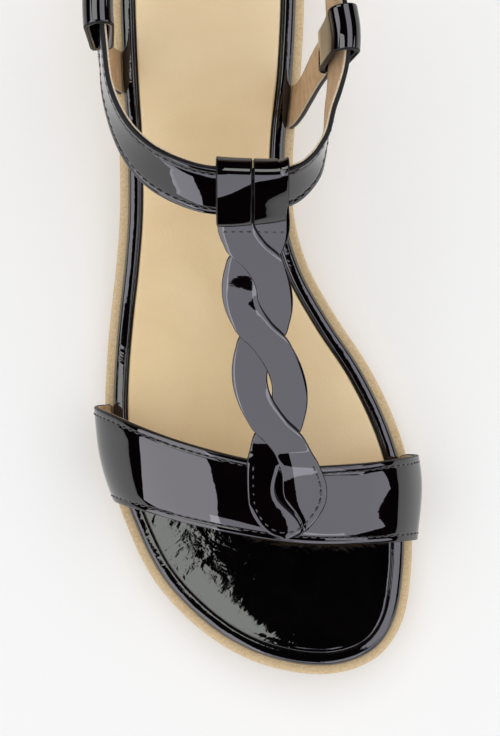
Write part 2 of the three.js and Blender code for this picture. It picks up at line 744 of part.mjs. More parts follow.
// Colours and finishes
const patent = { color: 0x0c090c, roughness: 0.1, metalness: 0 };
const soleRubber = { color: 0xcbab80, roughness: 0.75, metalness: 0 };
const goldLeather = { color: 0xd8bd92, roughness: 0.42, metalness: 0.25 };

function subPart(name, geometry, finish) {
  const flat = geometry.toNonIndexed();
  flat.computeVertexNormals();
  const mesh = new THREE.Mesh(flat, new THREE.MeshStandardMaterial(finish));
  mesh.name = name;
  return mesh;
}

const sandal = new THREE.Group();
sandal.add(
  subPart('sole', soleGeometry, soleRubber),
  subPart('footbed', footbedGeometry, patent),
  subPart('insole_sock', sockGeometry, goldLeather),
  subPart('t_strap_upper', upperGeometry, patent),
  subPart('ankle_strap', ankleGeometry, patent),
  subPart('quarter_strap_medial', quarterStrap('medial', medialRows), patent),
  subPart('quarter_strap_lateral', quarterStrap('lateral', lateralRows), patent),
);

// The origin is the middle of the box's underside
const box = new THREE.Box3().setFromObject(sandal);
const middle = box.getCenter(new THREE.Vector3());
sandal.position.set(-middle.x, -middle.y, -box.min.z);

const group = new THREE.Group();
group.add(sandal);

export default group;
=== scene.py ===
# %% [markdown]
# # A patent leather T-bar sandal
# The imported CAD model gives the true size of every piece, but its solids are coarse and plain. This
# lesson dresses them. Each strap, the footbed, the sock and the sole is built again as a fine mesh from
# the same curves, and gets its cut edges, lining, stitches and gloss. The frame comes first, because
# every piece is placed by it.

# %% The frame
import math

import bmesh
import bpy
import numpy as np
from mathutils import Matrix, Vector


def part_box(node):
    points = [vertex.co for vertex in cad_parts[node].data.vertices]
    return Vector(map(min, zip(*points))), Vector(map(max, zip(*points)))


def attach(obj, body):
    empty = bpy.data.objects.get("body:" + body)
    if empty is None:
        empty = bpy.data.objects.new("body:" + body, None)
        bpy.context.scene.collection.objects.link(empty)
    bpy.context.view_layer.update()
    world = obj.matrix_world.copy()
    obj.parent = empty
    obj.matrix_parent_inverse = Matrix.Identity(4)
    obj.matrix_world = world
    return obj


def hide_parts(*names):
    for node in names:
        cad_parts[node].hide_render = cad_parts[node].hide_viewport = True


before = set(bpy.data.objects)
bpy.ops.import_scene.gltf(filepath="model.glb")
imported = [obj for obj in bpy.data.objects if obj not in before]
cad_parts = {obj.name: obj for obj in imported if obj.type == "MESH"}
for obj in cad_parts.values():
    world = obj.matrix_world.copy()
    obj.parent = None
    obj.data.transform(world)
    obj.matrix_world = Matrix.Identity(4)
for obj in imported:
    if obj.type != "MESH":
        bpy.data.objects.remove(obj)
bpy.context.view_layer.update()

MM = 0.001

# %% [markdown]
# ## Camera
# The photograph looks straight down on the front four fifths of the shoe, toe at the bottom. A long lens
# from a metre up keeps the heights from spreading outwards too much. A camera that has no rotation looks
# down already, with +Y at the top of the picture, so it only needs a place and a lens.

# %% Camera
CAMERA_HEIGHT = 1113
PICTURE_CENTRE = (-2.16, -36.0)
PICTURE_LENGTH = 216.5
PLANE_HEIGHT = 13

camera_data = bpy.data.cameras.new("camera")
camera_data.sensor_width = 36
camera_data.lens = camera_data.sensor_width * (CAMERA_HEIGHT - PLANE_HEIGHT) / PICTURE_LENGTH
camera_data.clip_end = 20
camera = bpy.data.objects.new("camera", camera_data)
camera.location = Vector((*PICTURE_CENTRE, CAMERA_HEIGHT)) * MM
bpy.context.collection.objects.link(camera)
bpy.context.scene.camera = camera
print("lens:", round(camera_data.lens, 1), "mm")

# %% [markdown]
# ## The last
# A shoe is built on a last, a model of the foot, and so are these meshes. Its outline and its heights
# are short tables, in the order of the sections from the toe tip to the heel. A cubic curve through each
# column gives a value anywhere between two sections. Pulling vertices by hand could give the same shapes,
# but not twice, and not in step with the CAD solids, which come from the same tables.

# %% Sizes, in millimetres
LENGTH = 250
BALL_WIDTH = 90
INSTEP_HEIGHT = 63
ANKLE_WIDTH = 66
ANKLE_HEIGHT = 102
FORE_SOLE = 9
HEEL_RISE = 22
TOE_SPRING = 6
ARCH_LIFT = 2.5
LIP_WIDTH = 2.4
LIP_HEIGHT = 3.4
LIP_GROOVE = 1.1
TREAD_ROUND = 2.2
FOOTBED_THICKNESS = 4.2
RIM_WIDTH = 3.2
SOCK_START = 0.216
STRAP_THICKNESS = 1.8
CLEARANCE = 0.3


# %% Curves through a table
def curve_through(knots, values):
    """A smooth curve through points, in cubic pieces whose slopes come from the neighbours."""
    knots, values = np.array(knots, float), np.array(values, float)
    spans = np.diff(knots)
    secants = np.diff(values) / spans
    slopes = np.concatenate([secants[:1], secants[:1].repeat(len(spans) - 1), secants[-1:]])
    slopes[1:-1] = (secants[:-1] * spans[1:] + secants[1:] * spans[:-1]) / (spans[:-1] + spans[1:])

    def curve(x):
        i = np.clip(np.searchsorted(knots, x) - 1, 0, len(spans) - 1)
        u = (x - knots[i]) / spans[i]
        v = 1 - u
        ends = values[i] * v * v * (1 + 2 * u) + values[i + 1] * u * u * (1 + 2 * v)
        return ends + (slopes[i] * v - slopes[i + 1] * u) * spans[i] * u * v

    return curve


def turn_of(at):
    """A share of the length as a share of a half circle over it, which rounds the outline's ends."""
    return np.arccos(np.clip(1 - 2 * np.asarray(at, float), -1, 1)) / math.pi


def at_of(turn):
    return (1 - np.cos(math.pi * np.asarray(turn, float))) / 2


# %% Sections of the last
# at, then the lateral edge, the medial edge and the ridge as shares of the ball width, then shares of
# the toe spring, the arch lift, the heel rise and the instep height
LAST = np.array([
    (0, 0.381, 0.381, 0.3, 1, 0, 0, 0.12),
    (0.0235, 0.103, 0.571, 0.29, 0.8, 0, 0, 0.17),
    (0.06, -0.046, 0.635, 0.28, 0.53, 0, 0, 0.24),
    (0.11, -0.175, 0.661, 0.265, 0.24, 0, 0, 0.32),
    (0.165, -0.257, 0.667, 0.25, 0.06, 0, 0, 0.41),
    (0.235, -0.323, 0.659, 0.24, 0, 0, 0, 0.525),
    (0.305, -0.34, 0.597, 0.212, 0, 0, 0, 0.65),
    (0.36, -0.335, 0.52, 0.187, 0, 0.04, 0.03, 0.745),
    (0.42, -0.32, 0.41, 0.163, 0, 0.38, 0.12, 0.85),
    (0.475, -0.302, 0.325, 0.15, 0, 0.82, 0.26, 0.915),
    (0.53, -0.289, 0.28, 0.145, 0, 1, 0.44, 0.94),
    (0.6, -0.287, 0.274, 0.144, 0, 0.72, 0.67, 0.99),
    (0.7, -0.301, 0.299, 0.14, 0, 0.06, 0.9, 1.1),
    (0.8, -0.309, 0.31, 0.12, 0, 0, 0.99, 1.15),
    (0.885, -0.297, 0.3, 0.08, 0, 0, 1, 1.15),
    (0.95, -0.254, 0.257, 0.04, 0, 0, 1, 1.1),
    (1, 0, 0, 0, 0, 0, 1, 1.05),
])
outline = {
    "lateral": curve_through(turn_of(LAST[:, 0]), LAST[:, 1]),
    "medial": curve_through(turn_of(LAST[:, 0]), LAST[:, 2]),
}
ridge_share, toe_share, arch_share, heel_share, instep_share = (
    curve_through(LAST[:, 0], LAST[:, column]) for column in range(3, 8))
OTHER_SIDE = {"lateral": "medial", "medial": "lateral"}
INWARDS = {"lateral": 1, "medial": -1}


def ground_height(at):
    return np.maximum(0, TOE_SPRING * toe_share(at) + ARCH_LIFT * arch_share(at))


def seat_height(at):
    return FORE_SOLE + TOE_SPRING * toe_share(at) + HEEL_RISE * heel_share(at)


def edge_point(side, turn):
    """Points of the sole's outline. A turn past the toe or the heel runs on along the other side."""
    turn = np.asarray(turn, float)
    folded = np.where(turn < 0, -turn, np.where(turn > 1, 2 - turn, turn))
    past = (turn < 0) | (turn > 1)
    across = np.where(past, outline[OTHER_SIDE[side]](folded), outline[side](folded))
    return np.stack([across * BALL_WIDTH, at_of(turn) * LENGTH], -1)


def inset_point(side, turn, inset):
    """Points of the outline moved inwards, square to its edge."""
    step = 0.002
    tangent = edge_point(side, turn + step) - edge_point(side, turn - step)
    tangent /= np.linalg.norm(tangent, axis=-1, keepdims=True)
    normal = np.stack([tangent[..., 1], -tangent[..., 0]], -1) * INWARDS[side]
    return edge_point(side, turn) + normal * inset


# %% From the last to the frame
# The tables count y from the toe tip and x from the heel's middle. The CAD sole says where that is.
sole_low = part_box("sole")[0]
turns = np.linspace(0, 1, 4001)
TO_FRAME = np.array([
    sole_low[0] / MM - edge_point("lateral", turns)[:, 0].min(), sole_low[1] / MM, 0])
print("toe tip and heel line lie at", TO_FRAME.round(2), "mm in the frame")

# %% [markdown]
# ## Making a mesh
# Almost every part of a shoe is a strip or a plate: a row of corners that is repeated along a path. So
# one helper takes the rows and joins them with four-sided faces. A ready-made curve with a bevel would
# be quicker for a strap, but it can't have a cut edge, a lining and a stitch groove of its own.


# %% Rows of corners to a piece
def add_piece(name, corners, faces, finishes, replaces=(), face_finish=None, crease=50):
    """A mesh piece from corners in millimetres, on the frame's body, with one finish or several."""
    mesh = bpy.data.meshes.new(name)
    places = (np.asarray(corners, float).reshape(-1, 3) + TO_FRAME) * MM
    mesh.from_pydata(places.tolist(), [], [tuple(int(i) for i in face) for face in faces])
    for finish in finishes:
        mesh.materials.append(finish)
    if face_finish is not None:
        mesh.polygons.foreach_set("material_index", np.asarray(face_finish, dtype=np.int32))
    clean = bmesh.new()
    clean.from_mesh(mesh)
    bmesh.ops.remove_doubles(clean, verts=clean.verts, dist=2e-6)
    bmesh.ops.dissolve_degenerate(clean, edges=clean.edges, dist=1e-6)
    bmesh.ops.recalc_face_normals(clean, faces=clean.faces)
    clean.to_mesh(mesh)
    clean.free()
    mesh.polygons.foreach_set("use_smooth", [True] * len(mesh.polygons))
    mesh.set_sharp_from_angle(angle=math.radians(crease))
    piece = bpy.data.objects.new(name, mesh)
    bpy.context.collection.objects.link(piece)
    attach(piece, "root")
    if replaces:
        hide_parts(*replaces)
    print(f"{name}: {len(mesh.polygons)} faces")
    return piece


def grid_faces(rows, columns, loop_rows=False, capped=False):
    """Four-sided faces between rows of corners, which are closed rings. Caps close the first and last."""
    faces = []
    for i in range(rows if loop_rows else rows - 1):
        here, after = i * columns, (i + 1) % rows * columns
        for j in range(columns):
            next_j = (j + 1) % columns
            faces.append((here + j, here + next_j, after + next_j, after + j))
    if capped:
        faces += [tuple(range(columns))[::-1], tuple((rows - 1) * columns + k for k in range(columns))]
    return faces


def read_at(x, places, values):
    """A table of several columns, read between its rows."""
    return np.stack([np.interp(x, places, column) for column in np.transpose(values)], -1)


def smoothed(points, turns, is_loop=False):
    """Rows of points, each moved a little towards its neighbours, several times over."""
    for _ in range(turns):
        if is_loop:
            points = (np.roll(points, 1, 0) + 2 * points + np.roll(points, -1, 0)) / 4
        else:
            points[1:-1] = (points[:-2] + 2 * points[1:-1] + points[2:]) / 4
    return points


# %% [markdown]
# ## Finishes
# Patent leather is leather under a clear, hard coat of lacquer. What one sees of it is almost only the
# reflection of the studio lights, so the colour is near black and the work goes into the gloss: a smooth
# coat over a base without any gloss of its own, and very shallow waves that break up the edges of the
# reflected lights. A glossy base would lay a grey haze over the black. The other finishes are soft ones: a
# pale gold sock, a tan lining, raw cut edges and the tan sole. Each one is mixed from noise textures, so
# that it holds no picture and has no seam.


# %% Helpers for finishes
def finish(name, colour, roughness, **sockets):
    """A plain finish: a colour, a roughness and any other constants of the main shader."""
    made = bpy.data.materials.new(name)
    made.use_nodes = True
    shader = made.node_tree.nodes["Principled BSDF"]
    shader.inputs["Base Color"].default_value = (*colour, 1)
    shader.inputs["Roughness"].default_value = roughness
    for socket, value in sockets.items():
        shader.inputs[socket.replace("_", " ")].default_value = value
    made.diffuse_color = (*colour, 1)
    return made


def link(made, out_socket, in_socket):
    made.node_tree.links.new(out_socket, in_socket)


def grain(made, scale, detail=2, stretch=(1, 1, 1), distortion=0):
    """Noise in the piece's own space. scale is in grains a metre."""
    nodes = made.node_tree.nodes
    place = nodes.new("ShaderNodeTexCoord")
    mapping = nodes.new("ShaderNodeMapping")
    mapping.inputs["Scale"].default_value = stretch
    texture = nodes.new("ShaderNodeTexNoise")
    texture.inputs["Scale"].default_value = scale
    texture.inputs["Detail"].default_value = detail
    texture.inputs["Distortion"].default_value = distortion
    link(made, place.outputs["Object"], mapping.inputs["Vector"])
    link(made, mapping.outputs["Vector"], texture.inputs["Vector"])
    return texture.outputs["Fac"]


def mottle(made, texture, stops):
    """Colours along a ramp that a texture drives. stops are pairs of a place and a colour."""
    nodes = made.node_tree.nodes
    ramp = nodes.new("ShaderNodeValToRGB")
    for _ in range(len(stops) - 2):
        ramp.color_ramp.elements.new(0.5)
    for element, (place, colour) in zip(ramp.color_ramp.elements, stops):
        element.position = place
        element.color = (*colour, 1)
    link(made, texture, ramp.inputs["Fac"])
    link(made, ramp.outputs["Color"], nodes["Principled BSDF"].inputs["Base Color"])


def relief(made, heights):
    """Stacks bumps. heights are triples of a texture, a strength and a depth in millimetres."""
    normal = None
    for texture, strength, depth in heights:
        bump = made.node_tree.nodes.new("ShaderNodeBump")
        bump.inputs["Strength"].default_value = strength
        bump.inputs["Distance"].default_value = depth * MM
        link(made, texture, bump.inputs["Height"])
        if normal is not None:
            link(made, normal, bump.inputs["Normal"])
        normal = bump.outputs["Normal"]
    shader = made.node_tree.nodes["Principled BSDF"]
    link(made, normal, shader.inputs["Normal"])
    if shader.inputs["Coat Weight"].default_value > 0:
        link(made, normal, shader.inputs["Coat Normal"])


# %% Patent leather
patent = finish("patent_leather", (0.002, 0.0012, 0.0018), 0.3, Coat_Weight=1.0, Coat_Roughness=0.02,
                Coat_IOR=1.75, Specular_IOR_Level=0.0)
mottle(patent, grain(patent, 120, 3), [(0.3, (0.0012, 0.0007, 0.001)), (0.75, (0.003, 0.0015, 0.0022))])
relief(patent, [(grain(patent, 55, 1), 0.5, 0.35), (grain(patent, 420, 2), 0.12, 0.05)])

padded_patent = finish("padded_patent_leather", (0.002, 0.0015, 0.0018), 0.3, Coat_Weight=1.0,
                       Coat_Roughness=0.03, Coat_IOR=1.75, Specular_IOR_Level=0.0)
mottle(padded_patent, grain(padded_patent, 150, 3), [
    (0.3, (0.0012, 0.001, 0.0011)), (0.75, (0.0026, 0.002, 0.0022))])
relief(padded_patent, [(grain(padded_patent, 70, 3, distortion=1.2), 0.5, 0.4),
                       (grain(padded_patent, 260, 4, distortion=2.0), 0.4, 0.045),
                       (grain(padded_patent, 900, 3), 0.25, 0.03)])

# %% Edges, thread, lining
edge_paint = finish("painted_edge", (0.006, 0.005, 0.006), 0.45, Specular_IOR_Level=0.25)
relief(edge_paint, [(grain(edge_paint, 1400, 3), 0.5, 0.08)])

raw_edge = finish("raw_edge", (0.62, 0.5, 0.36), 0.8)
mottle(raw_edge, grain(raw_edge, 2200, 3), [(0.3, (0.5, 0.38, 0.25)), (0.7, (0.74, 0.63, 0.48))])

thread = finish("black_thread", (0.006, 0.005, 0.006), 0.35, Coat_Weight=0.9, Coat_Roughness=0.14)
relief(thread, [(grain(thread, 3000, 1, stretch=(1, 1, 3)), 0.5, 0.06)])

lining = finish("tan_lining", (0.56, 0.36, 0.19), 0.62)
mottle(lining, grain(lining, 260, 4), [(0.25, (0.47, 0.28, 0.135)), (0.75, (0.66, 0.45, 0.26))])
relief(lining, [(grain(lining, 1500, 3), 0.5, 0.08), (grain(lining, 120, 2), 0.3, 0.15)])

# %% Gold sock and tan sole
gold = finish("pale_gold_leather", (0.78, 0.6, 0.36), 0.48, Metallic=0.12)
mottle(gold, grain(gold, 16, 5, distortion=0.6), [
    (0.25, (0.7, 0.5, 0.25)), (0.5, (0.8, 0.61, 0.34)), (0.75, (0.87, 0.7, 0.45))])
relief(gold, [(grain(gold, 1500, 3), 0.8, 0.09), (grain(gold, 90, 3), 0.35, 0.25)])

tan_rubber = finish("tan_sole", (0.7, 0.51, 0.28), 0.68)
mottle(tan_rubber, grain(tan_rubber, 1500, 5), [
    (0.3, (0.62, 0.43, 0.22)), (0.52, (0.7, 0.52, 0.29)), (0.72, (0.78, 0.6, 0.37))])
relief(tan_rubber, [(grain(tan_rubber, 1300, 4), 0.6, 0.12), (grain(tan_rubber, 60, 2), 0.3, 0.2)])
print("finishes:", [made.name for made in bpy.data.materials])

# %% [markdown]
# ## Sole
# The sole is one moulded unit: a thin forefoot, a low wedge under the heel, a lip that stands out all
# round and a groove beneath it. A box with bevels would lose the outline, and a sculpted block would lose
# the flat tread. So the outline is drawn in rings from the tread up to the seat, each ring moved inwards
# by its own amount, and the rings are joined across the shoe.


# %% Plate of the sole's outline
def plate(stations, rings, top_shape, bottom_shape, columns):
    """Corners of a plate. rings are pairs of an inset and a height function, from the bottom up. The
    shapes are functions of (share across, width, y) that add height to the top or the underside."""
    sides = {}
    for side in ("medial", "lateral"):
        points = []
        for inset, height in rings:
            flat = inset_point(side, stations, inset)
            points.append(np.column_stack([flat, height(flat[:, 1] / LENGTH)]))
        sides[side] = np.stack(points, 1)

    def between(start, stop, shape):
        shares = (np.arange(1, columns) / columns)[None, :, None]
        points = start[:, None] * (1 - shares) + stop[:, None] * shares
        width = np.linalg.norm(start - stop, axis=-1)[:, None]
        points[..., 2] += shape(shares[..., 0], width, points[..., 1])
        return points

    medial, lateral = sides["medial"], sides["lateral"]
    return np.concatenate([
        medial, between(medial[:, -1], lateral[:, -1], top_shape),
        lateral[:, ::-1], between(lateral[:, 0], medial[:, 0], bottom_shape)], 1)


def level(share, width, y):
    return 0 * share * width * y


def bend(steps, start=0, stop=90):
    """Cosines and sines of evenly spaced angles, for a rounded edge."""
    angles = np.radians(np.linspace(start, stop, steps))
    return [(math.cos(angle), math.sin(angle)) for angle in angles]


PUSHED_SIDE, PUSHED_TIP, PUSHED_BREADTH = 0.26 * LENGTH, 0.16 * LENGTH, 0.3 * BALL_WIDTH


def push_toe(corners, reach):
    """Moves the lateral half of a plate's toe outwards, where the real toe is a little fuller."""
    x, y = corners[..., 0].copy(), corners[..., 1].copy()
    side = np.clip(1 - y / PUSHED_SIDE, 0, 1) * np.clip(0.83 - x / PUSHED_BREADTH, 0, 1)
    tip = np.clip(1 - y / PUSHED_TIP, 0, 1) * np.clip(2 - x / PUSHED_BREADTH, 0, 1)
    corners[..., 0] -= reach * side ** 0.7
    corners[..., 1] -= reach * tip ** 0.7


# %% Sole unit
LIP_ROUND = 0.75
TREAD_DEPTH = 0.55
TREAD_PITCH = 6
TREAD_WAVE = 14
SOLE_TOE_REACH = 1.1


def below_seat(inset, drop):
    """A ring so far inside the outline and so far below the seat, all round."""
    return inset, lambda at: seat_height(at) - drop


sole_rings = [(LIP_GROOVE + TREAD_ROUND * (1 - s), lambda at, c=c: ground_height(at) + TREAD_ROUND * (1 - c))
              for c, s in bend(6)]
sole_rings += [(LIP_GROOVE * 0.94, lambda at: (ground_height(at) + seat_height(at) - LIP_HEIGHT) / 2)]
sole_rings += [below_seat(LIP_GROOVE * share_in, drop) for share_in, drop in (
    (1.05, LIP_HEIGHT + 1.1), (1.25, LIP_HEIGHT + 0.55), (1.05, LIP_HEIGHT + 0.2), (0.5, LIP_HEIGHT),
    (0.14, LIP_HEIGHT * 0.86), (0, LIP_HEIGHT * 0.44))]
sole_rings += [below_seat(LIP_ROUND * (1 - c), LIP_ROUND * (1 - s)) for c, s in bend(5, 12)]


def tread(share, width, y):
    """Shallow wavy grooves across the tread, which stay inside its rim."""
    inside = np.clip(np.minimum(share, 1 - share) * width / 4 - 1, 0, 1)
    sway = 1.4 * np.cos(share * width * 2 * math.pi / TREAD_WAVE)
    wave = np.cos(y * 2 * math.pi / TREAD_PITCH + sway)
    return TREAD_DEPTH * inside * np.clip(wave * 1.6 - 0.3, 0, 1)


sole_stations = turn_of(at_of(np.linspace(0, 1, 301)))
sole_corners = plate(sole_stations, sole_rings, level, tread, 48)
push_toe(sole_corners, SOLE_TOE_REACH)
add_piece("sole_unit", sole_corners, grid_faces(*sole_corners.shape[:2]), [tan_rubber],
          ["sole"])

# %% [markdown]
# ## Footbed and sock
# The footbed is a padded board wrapped in patent leather. Its rim is rolled, a line is pressed in beside
# the rim, and ahead of the toe strap the black pad shows. The rim slopes gently outwards there, because
# only a slope can catch a light panel over its whole width. From under the strap to the heel a pale gold
# sock is glued on. Both are plates of the same outline. The pad's crown is added as a low arch across.

# %% Footbed
FOOTBED_TOE_REACH = 0.95
PAD_SINK = 0.32
PAD_CROWN = 0.9
SOCK_THICKNESS = 1.0
SOCK_RECESS = CLEARANCE + SOCK_THICKNESS - PAD_SINK
RIM_FADE_START, RIM_FADE_SHARE = 0.2, 0.06


def recess(at):
    """How far the pad lies lower under the sock, from 0 to 1."""
    return np.clip((at - SOCK_START) * LENGTH / 0.9 + 1, 0, 1)


def footbed_top(at):
    return seat_height(at) + CLEARANCE + FOOTBED_THICKNESS


def behind_strap(at):
    return np.clip((at - RIM_FADE_START) / RIM_FADE_SHARE, 0, 1)


def rim_ring(share_in, drop, rear_share=1.0):
    """A ring of the rolled rim, whose drop can fade to a share of itself behind the toe strap."""
    return (LIP_WIDTH + share_in * RIM_WIDTH,
            lambda at: footbed_top(at) - drop * (1 - (1 - rear_share) * behind_strap(at)))


footbed_rings = [below_seat(LIP_WIDTH + inset, drop)
                 for inset, drop in ((0.9, -0.05), (0.25, -0.35), (0.02, -1.1))]
footbed_rings += [rim_ring(*ring) for ring in (
    (0.05, 2.4), (0.12, 1.65, 0.9), (0.2, 1.18, 0.6), (0.3, 0.88, 0.4), (0.5, 0.67, 0.25),
    (0.7, 0.48, 0.2), (0.88, 0.32, 0.2), (1.0, 0.24, 0.3), (1.06, 0.27), (1.11, 0.4), (1.15, 0.54),
    (1.19, 0.56), (1.23, 0.4), (1.28, 0.26))]
footbed_rings += [
    (LIP_WIDTH + 1.34 * RIM_WIDTH, lambda at: footbed_top(at) - 0.2 - 0.6 * SOCK_RECESS * recess(at)),
    (LIP_WIDTH + 1.5 * RIM_WIDTH, lambda at: footbed_top(at) - 0.18 - SOCK_RECESS * recess(at)),
]


def crown(share, width, uneven):
    """A low arch across, which fades where the plate is narrow."""
    arch = 1 - np.abs(2 * share - 1) ** 2.4
    return (PAD_CROWN + uneven) * arch * np.minimum(1, 2 * width / BALL_WIDTH)


def pad_crown(share, width, y):
    """The padding: full across, flat at the rim, and a little uneven."""
    return crown(share, width, 0.12 * np.sin(y / 11 + 1) * np.sin(share * 9))


footbed_corners = plate(sole_stations, footbed_rings, pad_crown, level, 40)
push_toe(footbed_corners, FOOTBED_TOE_REACH)
footbed = add_piece("footbed_cover", footbed_corners, grid_faces(*footbed_corners.shape[:2]),
                    [padded_patent], ["footbed"])

# %% Sock
SOCK_INSET = LIP_WIDTH + 1.2 * RIM_WIDTH + 2 * CLEARANCE


def sock_height(rise):
    return lambda at: footbed_top(at) - PAD_SINK - SOCK_RECESS + CLEARANCE + rise


sock_rings = [(SOCK_INSET, sock_height(-0.25)), (SOCK_INSET, sock_height(0.3))]
sock_rings += [(SOCK_INSET + 0.7 * (1 - c), sock_height(0.3 + 0.7 * s)) for c, s in bend(5, 18)]
sock_stations = turn_of(SOCK_START) + (1 - turn_of(SOCK_START)) * np.linspace(0, 1, 221)


def sock_crown(share, width, y):
    """The sock follows the pad, with shallow dents where the foot has pressed it."""
    dents = 0.1 * np.sin(y / 17 + 2) * np.sin(share * 7 + y / 31)
    return crown(share, width, dents + 0.05 * np.sin(y / 5.3) * np.sin(share * 15))


sock_corners = plate(sock_stations, sock_rings, sock_crown, sock_crown, 44)
sock_faces = grid_faces(*sock_corners.shape[:2]) + [tuple(range(sock_corners.shape[1]))]
add_piece("gold_sock", sock_corners, sock_faces, [gold], ["insole_sock"])

# %% [markdown]
# ## Straps
# A strap has a patent face, a painted cut edge, a thin raw line where the lining is glued on, and the tan
# lining itself. Each strap is first a bare grid of points on its inner face. Two sweeps along that grid
# then make the leather, with rounded edges and a shallow groove for each row of stitches, and the lining
# below it. Real straps aren't perfectly even, so a slow wave is added to the leather's face.


# %% Inner face of a strap
def unit(vectors):
    return vectors / np.maximum(np.linalg.norm(vectors, axis=-1, keepdims=True), 1e-9)


def strap_face(rows, is_loop=False, smoothing=0):
    """The inner face of a strap: its points, the directions out of it, and distances across it."""
    points = smoothed(np.array(rows, float), smoothing, is_loop)
    if is_loop:
        along = np.roll(points, -1, 0) - np.roll(points, 1, 0)
    else:
        along = np.gradient(points, axis=0)
    across = np.gradient(points, axis=1)
    steps = np.linalg.norm(np.diff(points, axis=1), axis=-1)
    reach = np.concatenate([np.zeros((len(points), 1)), np.cumsum(steps, 1)], 1)
    return {"points": points, "out": unit(np.cross(along, across)), "reach": reach, "is_loop": is_loop}


def over_face(face, i, across, height):
    """Points over a row of the strap, at distances across it and heights above its inner face."""
    reach, points, out = face["reach"][i], face["points"][i], face["out"][i]
    return read_at(across, reach, points) + unit(read_at(across, reach, out)) * np.asarray(height)[:, None]


def slow_wave(points, size):
    """Uneven leather: a few crossing waves about ten millimetres long."""
    x, y, z = points.T
    waves = np.sin(x / 2.9 + y / 5.1 + 1) + np.sin(y / 3.7 - z / 4.3 + 2) + np.sin(x / 6.1 - z / 2.3)
    return size * waves / 3


# %% Sections of leather and lining
LINING_THICKNESS = 0.55
EDGE_ROUND = 0.42
PAINTED = 6


def leather_section(width, thickness, floor, seams, puff):
    """Distances across, heights and finishes (0 patent, 1 edge) round the leather's section."""
    rise = [(0.1, floor), (0, floor + 0.1), (0, (floor + thickness) / 2)]
    rise += [(EDGE_ROUND * (1 - c), thickness - EDGE_ROUND * (1 - s)) for c, s in bend(5)]
    left = list(rise)
    for seam in seams:
        left += [(seam - 0.8, thickness + 0.03), (seam - 0.3, thickness - 0.08), (seam, thickness - 0.24),
                 (seam + 0.3, thickness - 0.08), (seam + 0.8, thickness + 0.02)]
    inner_edge = left[-1][0]
    middle = [(inner_edge + (width - 2 * inner_edge) * s, thickness + puff * (1 - (2 * s - 1) ** 2))
              for s in (0.12, 0.25, 0.37, 0.5, 0.63, 0.75, 0.88)]
    right = [(width - d, t) for d, t in reversed(left)]
    below = [(width * s, floor) for s in (0.75, 0.5, 0.25)]
    section = left + middle + right + below
    plain = len(section) - len(below) - 2 * PAINTED - 1
    return section, [1] * PAINTED + [0] * plain + [1] * (PAINTED + 1 + len(below))


def lining_section(width):
    edge = 0.22
    left = [(edge + 0.12, 0), (edge, 0.12), (edge, LINING_THICKNESS)]
    right = [(width - d, t) for d, t in reversed(left)]
    below = [(width * s, 0) for s in (0.8, 0.6, 0.4, 0.2)]
    return left + right + below, [1] * 5 + [0] * (len(below) + 1)


def sweep(name, face, section_of, finishes, replaces=(), wave=0, thickness=STRAP_THICKNESS):
    """A closed solid along the strap, from its section at each row. A wave lifts its upper side."""
    rings, marks = [], []
    count, is_loop = len(face["points"]), face["is_loop"]
    for i in range(count):
        section, marks = section_of(face["reach"][i][-1])
        across, height = np.array(section).T
        ring = over_face(face, i, across, height)
        if wave:
            raised = np.clip((height - LINING_THICKNESS) / (thickness - LINING_THICKNESS), 0, 1)[:, None]
            out = over_face(face, i, across, height + 1) - ring
            ring = ring + out * raised * slow_wave(ring, wave)[:, None]
        rings.append(ring)
    faces = grid_faces(count, len(rings[0]), is_loop, capped=not is_loop)
    face_marks = marks * count if is_loop else marks * (count - 1) + [1, 1]
    add_piece(name, np.concatenate(rings), faces, finishes, replaces, face_marks)


def leather(name, face, seams, wave, floor=0, puff=0.1, thickness=STRAP_THICKNESS, replaces=()):
    sweep(name, face, lambda width: leather_section(width, thickness, floor, seams, puff),
          [patent, edge_paint], replaces, wave, thickness)


def lined_strap(name, face, seam, replaces, wave):
    """Leather and lining of one strap, which overlap a little so that no gap shows."""
    leather(name, face, [seam], wave, floor=LINING_THICKNESS - 0.05, puff=0.12, replaces=replaces)
    sweep(name + "_lining", face, lining_section, [lining, raw_edge])


# %% [markdown]
# ## Stitches
# A machine seam is a row of short thread loops that dip into the leather at both ends. A bump texture
# would vanish at the strap's outline, so every stitch is a small spindle of its own, laid along the groove
# and bent down at its ends. All the stitches of a strap are one mesh.

# %% Rows of stitches
STITCH_PITCH = 2.45
STITCH_LENGTH = 2.05
STITCH_THICKNESS = 0.6


def seam_path(face, across, height, rows=None):
    """Points and out directions along a strap, at a distance from its left or (if negative) right edge."""
    rows = range(len(face["points"])) if rows is None else rows
    path, out = [], []
    for i in rows:
        width = face["reach"][i][-1]
        distance = np.array([across if across >= 0 else width + across])
        low, high = over_face(face, i, distance, [height])[0], over_face(face, i, distance, [height + 1])[0]
        path.append(low)
        out.append(high - low)
    return np.array(path), np.array(out)


